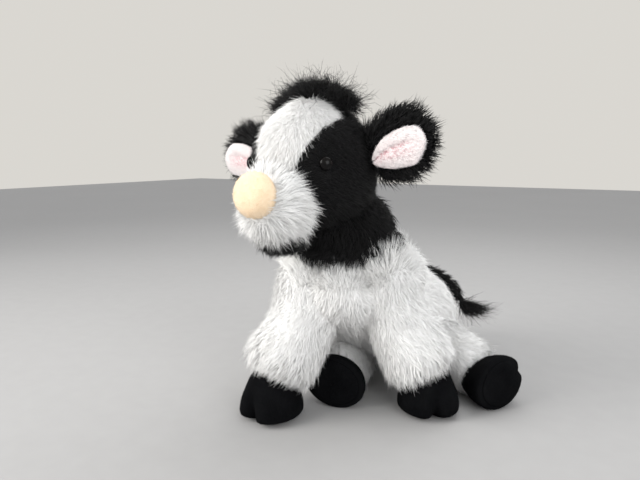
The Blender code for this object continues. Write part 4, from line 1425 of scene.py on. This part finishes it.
# A hoof and its sole panel, from one form: rings up to the seam close with a cap for the hoof, and
# the rings beyond it close with a cap for the sole. Both draw in at the seam as a bell curve does
def hoofPieces(kind, word, shape, legShape, legGrid):
    sides = hoofLook["sides"]
    angle = 2 * np.pi * np.arange(sides) / sides
    seam = 1 - hoofLook["soleThickness"] / hoofLook["height"]
    start, end = shape["path"](array(0.0)), shape["path"](array(1.0))
    along = unit(end - start)[0]
    hoofRows = evenRound(hoofLook["hoofRings"])[1:-1] * seam
    soleRows = seam + (1 - seam) * np.sin(np.linspace(0, 0.97, hoofLook["soleRings"]) * np.pi / 2)
    for part, rows in (("hoof", hoofRows), ("sole", soleRows)):
        points = surface(shape, rows, angle)
        outward = unit(points - lineFrame(shape, rows)[0][:, None])
        near = bell((rows - seam) * hoofLook["height"], hoofLook["seamDepth"])[:, None, None]
        points = points - outward * (hoofLook["inset"] + hoofLook["seamDepth"] * near)
        gap = hoofLook["seamGap"] * along
        if part == "hoof":
            first = start + hoofLook["inset"] * along
            last = shape["path"](rows[-1:]) - gap
        else:
            points = points + gap * near
            first = shape["path"](rows[:1]) + gap
            last = end - hoofLook["inset"] * along
        grid = np.vstack([first, points.reshape(-1, 3), last])
        grid[:, 2] = np.maximum(grid[:, 2], hoofLook["lowest"])
        name = f"{kind}_{part}_{word}_velvet"
        piece = place(name, meshFrom(name, grid, gridFaces(len(rows), sides)), clothFinish["velvet"])
        if part == "hoof":
            carve(piece, [skinPiece("leg_room", legShape, legGrid, hoofLook["legRoom"])])
        settle(piece, f"{kind}leg_{word}", [f"{kind}_{part}_{word}"])
        hoofs[kind, word, part] = piece


# A leg's wavered and stuffed skin
def legSkin(kind, word, shape, look, seed):
    def depth(points):
        return look["waver"] * ripple(points, look["waverSize"], seed)

    leg = skinPiece(f"{kind}leg_skin_{word}", shape, look["grid"], look["inset"], whiteSkin, depth)
    stuffed(leg, look["voxel"], look["swell"])
    return settle(leg, f"{kind}leg_{word}", [f"{kind}leg_{word}"])


legSkins = {}
for hand, word in hands:
    ankle, splay = foreLines[hand]
    path, shares = foreShapes[hand]["path"], foreLook["skinShares"][hand]
    slim = limbForm(path, foreLook["radius"], shares, foreLook["skinEnds"])
    legSkins["fore", hand] = legSkin("fore", word, slim, foreLook, 8)
    sole = array(ankle[0], ankle[1], -torsoLook["flatDepth"])
    height = array(0, 0, hoofLook["height"])
    shape = hoofForm("fore", sole + height, sole, array(splay, -hoofLook["height"], 0))
    hoofPieces("fore", word, shape, foreShapes[hand], foreLook["grid"])
for hand, word in hands:
    foot, way = hindLines[hand]
    legSkins["hind", hand] = legSkin("hind", word, hindShapes[hand], hindLook, 9)
    flatWay = unit(array(way[0], way[1], 0))
    reach = unit(flatWay + array(0, 0, math.tan(hoofLook["hindTilt"]))) * hoofLook["height"] / 2
    toe = array(-flatWay[1] * hand, flatWay[0] * hand, hoofLook["hindToeRise"])
    shape = hoofForm("hind", foot - reach, foot + reach, toe)
    hoofPieces("hind", word, shape, hindShapes[hand], hindLook["grid"])

tail = skinPiece("tail_skin", tailShape, tailLook["grid"], tailLook["inset"], blackSkin)
settle(tail, "tail", ["tail"])
tuft = skinPiece("tuft_skin", tuftShape, tuftLook["grid"], tuftLook["inset"], blackSkin)
settle(tuft, "tail", ["tail_tuft"])
print("skins made")

# Piles. density is strands to a square millimetre. lean is in degrees from the skin's normal, at the
# root and at the tip, and each strand differs from it by leanVary. A lock has so many strands, and
# gather draws them together. swirl turns the comb in waves, stray for each strand by itself

whitePile = {
    "density": 1.05,
    "length": 0.0080,
    "vary": 0.28,
    "lean": (50, 82),
    "leanVary": 12,
    "radius": 0.00023,
    "flat": 0.5,
    "taper": 0.4,
    "stations": (0, 0.45, 1),
    "lock": 14,
    "gather": 0.42,
    "swirl": 0.5,
    "stray": 0.34,
    "waver": 0.05,
    "soft": 0.3,
}
blackPile = {
    "density": 1.1,
    "length": 0.0056,
    "vary": 0.25,
    "lean": (45, 78),
    "radius": 0.00023,
    "stations": (0, 1),
    "lock": 6,
    "gather": 0.35,
    "swirl": 0.5,
    "stray": 0.3,
    "waver": 0.05,
}
shaggyPile = dict(
    blackPile, density=0.9, length=0.0100, lean=(38, 76), stations=(0, 0.45, 1), radius=0.00026,
    lock=9, gather=0.5,
)
crownPile = dict(
    shaggyPile, density=1.8, length=0.0086, vary=0.4, lean=(30, 78), leanVary=16, radius=0.00022,
    gather=0.45, swirl=0.9, stray=0.7,
)
wispPile = dict(
    blackPile, density=0.40, length=0.0160, vary=0.4, lean=(34, 96), leanVary=18, radius=0.00011,
    stations=(0, 0.25, 0.5, 0.75, 1), taper=0.3, gather=0.25, lock=4, curl=(-1.6, 2.6), swirl=0.9,
    stray=0.9, waver=0.09,
)


# Combed by one vector all over
def combed(*way):
    return lambda root, normal: 0 * root + array(*way)


# Combed across the normal and a vector, so that the nap turns with the surface
def combedRound(*way):
    return lambda root, normal: np.cross(normal, array(*way))


# Combed along a form's line, and fanned out to both sides of it by fan times the distance
def alongLine(shape, fan=0):
    def comb(root, normal):
        middle, tangent, across = lineFrame(shape, np.linspace(0, 1, 80))[:3]
        station = nearest(root, middle)
        wide = ((root - middle[station]) * across[station]).sum(-1)
        return tangent[station] + across[station] * (wide * fan)[:, None]
    return comb


# Combed on the head, outward by a multiple of the distance from the face's middle
def combedFace(outward, forward, up):
    def comb(root, normal):
        left = headPlace(root)[0]
        return faceLeft * (left * outward)[:, None] + faceForward * forward + upward * up
    return comb


# Torso pile in four quarters, combed down, a little back and outward from the middle

torsoPile = dict(whitePile, outward=12, back=0.35, down=0.9, split=-0.055)
collarLook = {"under": 0.036, "underHeight": -0.012}


def torsoComb(root, normal):
    rest = combed(0, torsoPile["back"], -torsoPile["down"])(root, normal)
    return rest + root * array(torsoPile["outward"], 0, 0)


def underCollar(root):
    out, rise = neckPlace(root)
    return (out < collarLook["under"]) & (rise > collarLook["underHeight"])


def quarter(front, side):
    return lambda root: (
        ((root[:, 1] < torsoPile["split"]) == front) & (root[:, 0] * side > 0) & ~underCollar(root)
    )


legCores = [(shrunk(shape, 0.006), 0.001) for shape in (*foreShapes.values(), *hindShapes.values())]
for word, front, side, seed in (
    ("front_left", True, 1, 11), ("front_right", True, -1, 14),
    ("back_left", False, 1, 17), ("back_right", False, -1, 20),
):
    growPile(
        f"torso_pile_{word}", torso, torsoPile, torsoComb, "torso", "white_pile", seed,
        keep=quarter(front, side), clear=legCores, rootsOnly=True,
    )

# Leg piles, longer and more upright at the cuff, where they hang over the hoof

legPiles = {
    "fore": dict(whitePile, upperShare=0.85, cuffShare=1.6, seed=20),
    "hind": dict(whitePile, upperShare=0.95, cuffShare=1.4, seed=30),
}
cuffLook = {
    "start": 0.65,  # of the way down the leg
    "growth": 0.3,
    "power": 1.5,
    "flare": 0.55,
    "flareStart": 0.82,
    "flareGrowth": 0.15,
}


# Length shares from upper to cuff, by a power of the way from the cuff's start
def cuffed(shape, pile):
    def longer(root):
        share = ramp(within(shape, root)[0] - cuffLook["start"], cuffLook["growth"]) ** cuffLook["power"]
        return pile["upperShare"] + (pile["cuffShare"] - pile["upperShare"]) * share
    return longer


def flared(shape):
    def upright(root):
        t = within(shape, root)[0]
        return cuffLook["flare"] * ramp(t - cuffLook["flareStart"], cuffLook["flareGrowth"])
    return upright


torsoCore = shrunk(torsoShape, 0.0036)
for hand, word in hands:
    for kind, shape in (("fore", foreShapes[hand]), ("hind", hindShapes[hand])):
        pile = legPiles[kind]
        growPile(
            f"{kind}leg_pile_{word}", legSkins[kind, hand], pile, alongLine(shape), f"{kind}leg_{word}",
            "white_pile", pile["seed"] + hand, clear=[(torsoCore, 0.001)], longer=cuffed(shape, pile),
            upright=flared(shape), rootsOnly=True,
        )

# Neck pile

neckPile = dict(
    shaggyPile, length=0.0090, vary=0.35, lean=(50, 86), density=1.1, lock=14,
    lowest=0.0026,  # over the neck's seat
    legInset=0.004,
)
skullCore = shrunk(skullShape, headLook["inset"])
shoulderCores = [(shrunk(foreShapes[hand], neckPile["legInset"]), 0.0) for hand, word in hands]
growPile(
    "neck_pile", neck, neckPile, combed(0, 0, -1), "neck", "black_pile", 41,
    keep=lambda root: neckPlace(root)[1] > neckPile["lowest"],
    clear=[(skullCore, 0.0)] + shoulderCores,
)

# White hair that stands up round the collar's rim, on the torso and on both shoulders. It is taller
# behind and at the left shoulder

collarPile = dict(
    whitePile, density=1.7, length=0.0110, lean=(32, 14), stray=0.25, gather=0.35, lock=12,
    out=(0.037, 0.0525),  # least and most distance from the neck's axis
    rise=(-0.020, 0.008),  # least and most height over its seat
    inward=0.25,
    least=0.75,  # length share in front and on the right
    more=0.55,
    backShare=0.35,
)


def byCollar(root):
    out, rise = neckPlace(root)
    innermost, outermost = collarPile["out"]
    lowest, highest = collarPile["rise"]
    return (out > innermost) & (out < outermost) & (rise > lowest) & (rise < highest)


def collarComb(root, normal):
    away = root - neckSeat
    away = away - (away @ neckAxis)[:, None] * neckAxis
    return neckAxis - unit(away) * collarPile["inward"]


def collarRise(root):
    away = unit(root - neckSeat)
    tall = np.clip(away[:, 0] + collarPile["backShare"] * away[:, 1], 0, 1)
    return collarPile["least"] + collarPile["more"] * tall


for name, skin, body, seed in (
    ("collar_fringe", torso, "torso", 45),
    ("shoulder_fringe_left", legSkins["fore", 1], "foreleg_left", 46),
    ("shoulder_fringe_right", legSkins["fore", -1], "foreleg_right", 47),
):
    growPile(
        name, skin, collarPile, collarComb, body, "white_pile", seed, keep=byCollar, longer=collarRise
    )

# Head pile, combed back and down, and longer at the nape, where it hangs over the neck

headPile = dict(
    blackPile, density=1.2, sideways=0.5, back=0.8, down=0.55,
    eyeRoom=0.0052,
    overBall=0.002,  # how far over the neck ball's middle it starts
    napeMore=1.1,  # length share added at the nape
    napeHeight=(0.012, 0.022),  # below the skull's middle, where that starts, and its growth
    napeFront=(0.030, 0.02),  # before the skull's middle, where that ends, and its growth
)


def headComb(root, normal):
    sideways = (np.sign(headPlace(root)[0]) * headPile["sideways"])[:, None]
    return faceLeft * sideways - faceForward * headPile["back"] - upward * headPile["down"]


def onBlackHead(root):
    eyePlaces = np.array([eyes[1], eyes[-1]])
    offEyes = (((root[:, None] - eyePlaces) ** 2).sum(-1) > headPile["eyeRoom"] ** 2).all(-1)
    return (blazeMask(root) < 0.5) & offEyes & (root[:, 2] > neckMiddle[2] + headPile["overBall"])


def napeLength(root):
    left, forward, up = headPlace(root)
    low, lowGrowth = headPile["napeHeight"]
    front, frontGrowth = headPile["napeFront"]
    return 1 + headPile["napeMore"] * ramp(-low - up, lowGrowth) * ramp(front - forward, frontGrowth)


muzzleCore, noseCore = shrunk(muzzleShape, muzzleLook["inset"]), shrunk(noseShape, noseLook["inset"])
earCores = [(shrunk(earShapes[hand], earLook["inset"]), 0.001) for hand, word in hands]
growPile(
    "head_pile", head, headPile, headComb, "head", "black_pile", 51, keep=onBlackHead,
    clear=[(muzzleCore, 0.002)] + earCores, longer=napeLength,
)

# Face piles: the blaze's lies down, the muzzle's spreads from the nose

blazePile = dict(
    whitePile, density=2.1, length=0.0066, lean=(55, 80), stray=0.22, lock=9, gather=0.32, swirl=0.3,
    radius=0.00020, front=0.004,
)
growPile(
    "blaze_pile", blaze, blazePile, combedFace(14, 0, -1), "head", "white_pile", 61,
    keep=lambda root: headPlace(root)[1] > blazePile["front"],
    clear=[(muzzleCore, 0.001), (noseCore, 0.001)],
)

muzzlePile = dict(
    whitePile, density=2.0, length=0.0108, lean=(40, 72), stray=0.22, gather=0.45, lock=14, radius=0.00021,
    back=0.012,
)
growPile(
    "muzzle_pile", muzzle, muzzlePile,
    lambda root, normal: root - noseMiddle - faceForward * muzzlePile["back"],
    "head", "white_pile", 71, clear=[(noseCore, 0.0006), (skullCore, 0.0)],
)

chinPile = dict(shaggyPile, length=0.0095, density=2.2, down=0.6, forward=0.3)
growPile(
    "chin_pile", chin, chinPile,
    lambda root, normal: normal - upward * chinPile["down"] + faceForward * chinPile["forward"],
    "head", "black_pile", 76, clear=[(muzzleCore, 0.0)],
)

# Muzzle hair that lies over the nose's edge
fringePile = dict(
    muzzlePile, density=1.1, length=0.0080, lean=(45, 62), inward=12, reach=0.0235, over=0.010
)


def byNose(root):
    near = np.linalg.norm(root - noseMiddle, axis=1) < fringePile["reach"]
    return near & (root[:, 2] < noseMiddle[2] + fringePile["over"])


growPile(
    "nose_fringe", muzzle, fringePile,
    lambda root, normal: (noseMiddle - root) * fringePile["inward"] + faceForward,
    "head", "white_pile", 79, keep=byNose, clear=[(noseCore, 0.0004)],
)

feltPile = dict(blackPile, density=1.2, length=0.0016, radius=0.00016, lean=(20, 60), stray=1.2, gather=0.2)
growPile(
    "nose_pile", nose, feltPile, combedRound(0.3, 0.2, 1), "head", "peach_velour", 81,
    clear=[(muzzleCore, 0.0)],
)

# Crown hair, parted to both sides

crownComb = combedFace(25, 0.15, 0.3)
growPile("hair_pile", hair, crownPile, crownComb, "head", "black_pile", 91, clear=[(skullCore, 0.0)])
growPile("hair_wisps", hair, wispPile, crownComb, "head", "black_pile", 95, clear=[(skullCore, 0.0)])

# Ear piles, fanned out behind, and short fleece in front, white at its rim and pink in the middle

fleecePile = dict(
    blackPile, density=3.0, length=0.0020, lean=(45, 75), stray=0.5, radius=0.00019, gather=0.2, soft=0.2,
    pinkAt=-0.10,  # share of the half width, as the widths and the crease's place are
    pinkWidth=0.34,
    pinkRoot=(0.02, 0.12),  # where it starts along the ear, and the share over which it comes in
    pinkTip=(0.86, 0.36),  # where it ends, and the share over which it fades
    creaseAt=0.16,
    creaseWidth=0.09,
    creaseTip=(0.78, 0.3),
    tones=(0.02, 0.85, 0.5),  # the rim's, and what pink and crease add
)


def liningTone(hand):
    def tone(root):
        t, wide, high = within(liningShapes[hand], root)
        start, startGrowth = fleecePile["pinkRoot"]
        end, endFade = fleecePile["pinkTip"]
        creaseEnd, creaseFade = fleecePile["creaseTip"]
        pink = bell(wide - fleecePile["pinkAt"], fleecePile["pinkWidth"])
        pink = pink * ramp(end - t, endFade) * ramp(t - start, startGrowth)
        crease = bell(wide - fleecePile["creaseAt"], fleecePile["creaseWidth"])
        crease = crease * ramp(creaseEnd - t, creaseFade)
        rim, pinkMore, creaseMore = fleecePile["tones"]
        return rim + pinkMore * pink + creaseMore * crease
    return tone


earFan = 40
for hand, word in hands:
    growPile(
        f"ear_pile_{word}", ears[hand], shaggyPile, alongLine(earShapes[hand], earFan), f"ear_{word}",
        "black_pile", 100 + hand, clear=[(skullCore, 0.002), (liningShapes[hand], 0.0012)],
    )
    growPile(
        f"fleece_pile_{word}", linings[hand], fleecePile, alongLine(liningShapes[hand]), f"ear_{word}",
        "pink_fleece", 110 + hand, clear=[(skullCore, 0.001)], tone=liningTone(hand),
    )

# Velvet nap on the hooves and soles

napPile = dict(blackPile, density=1.1, length=0.0013, lean=(30, 60), stray=0.9, radius=0.00013, gather=0.1)
for (kind, word, part), piece in hoofs.items():
    growPile(
        f"{kind}_{part}_{word}_nap", piece, napPile, combedRound(0.9, 0.3, 0.2), f"{kind}leg_{word}",
        "black_velvet", 140 + len(kind + part + word),
    )

# Tail piles

tailPile = dict(shaggyPile, length=0.0070, density=1.1, lean=(40, 75))
tuftPile = dict(crownPile, length=0.0100, density=2.4, lean=(58, 84), swirl=0.3, stray=0.2)
tuftWisps = dict(
    wispPile, length=0.0175, density=0.9, lean=(55, 84), curl=(0, 1.6), stray=0.25, swirl=0.3
)
growPile("tail_pile", tail, tailPile, alongLine(tailShape), "tail", "black_pile", 121)
growPile("tuft_pile", tuft, tuftPile, alongLine(tuftShape), "tail", "black_pile", 131)
growPile("tuft_wisps", tuft, tuftWisps, alongLine(tuftShape), "tail", "black_pile", 135)
print("piles grown")
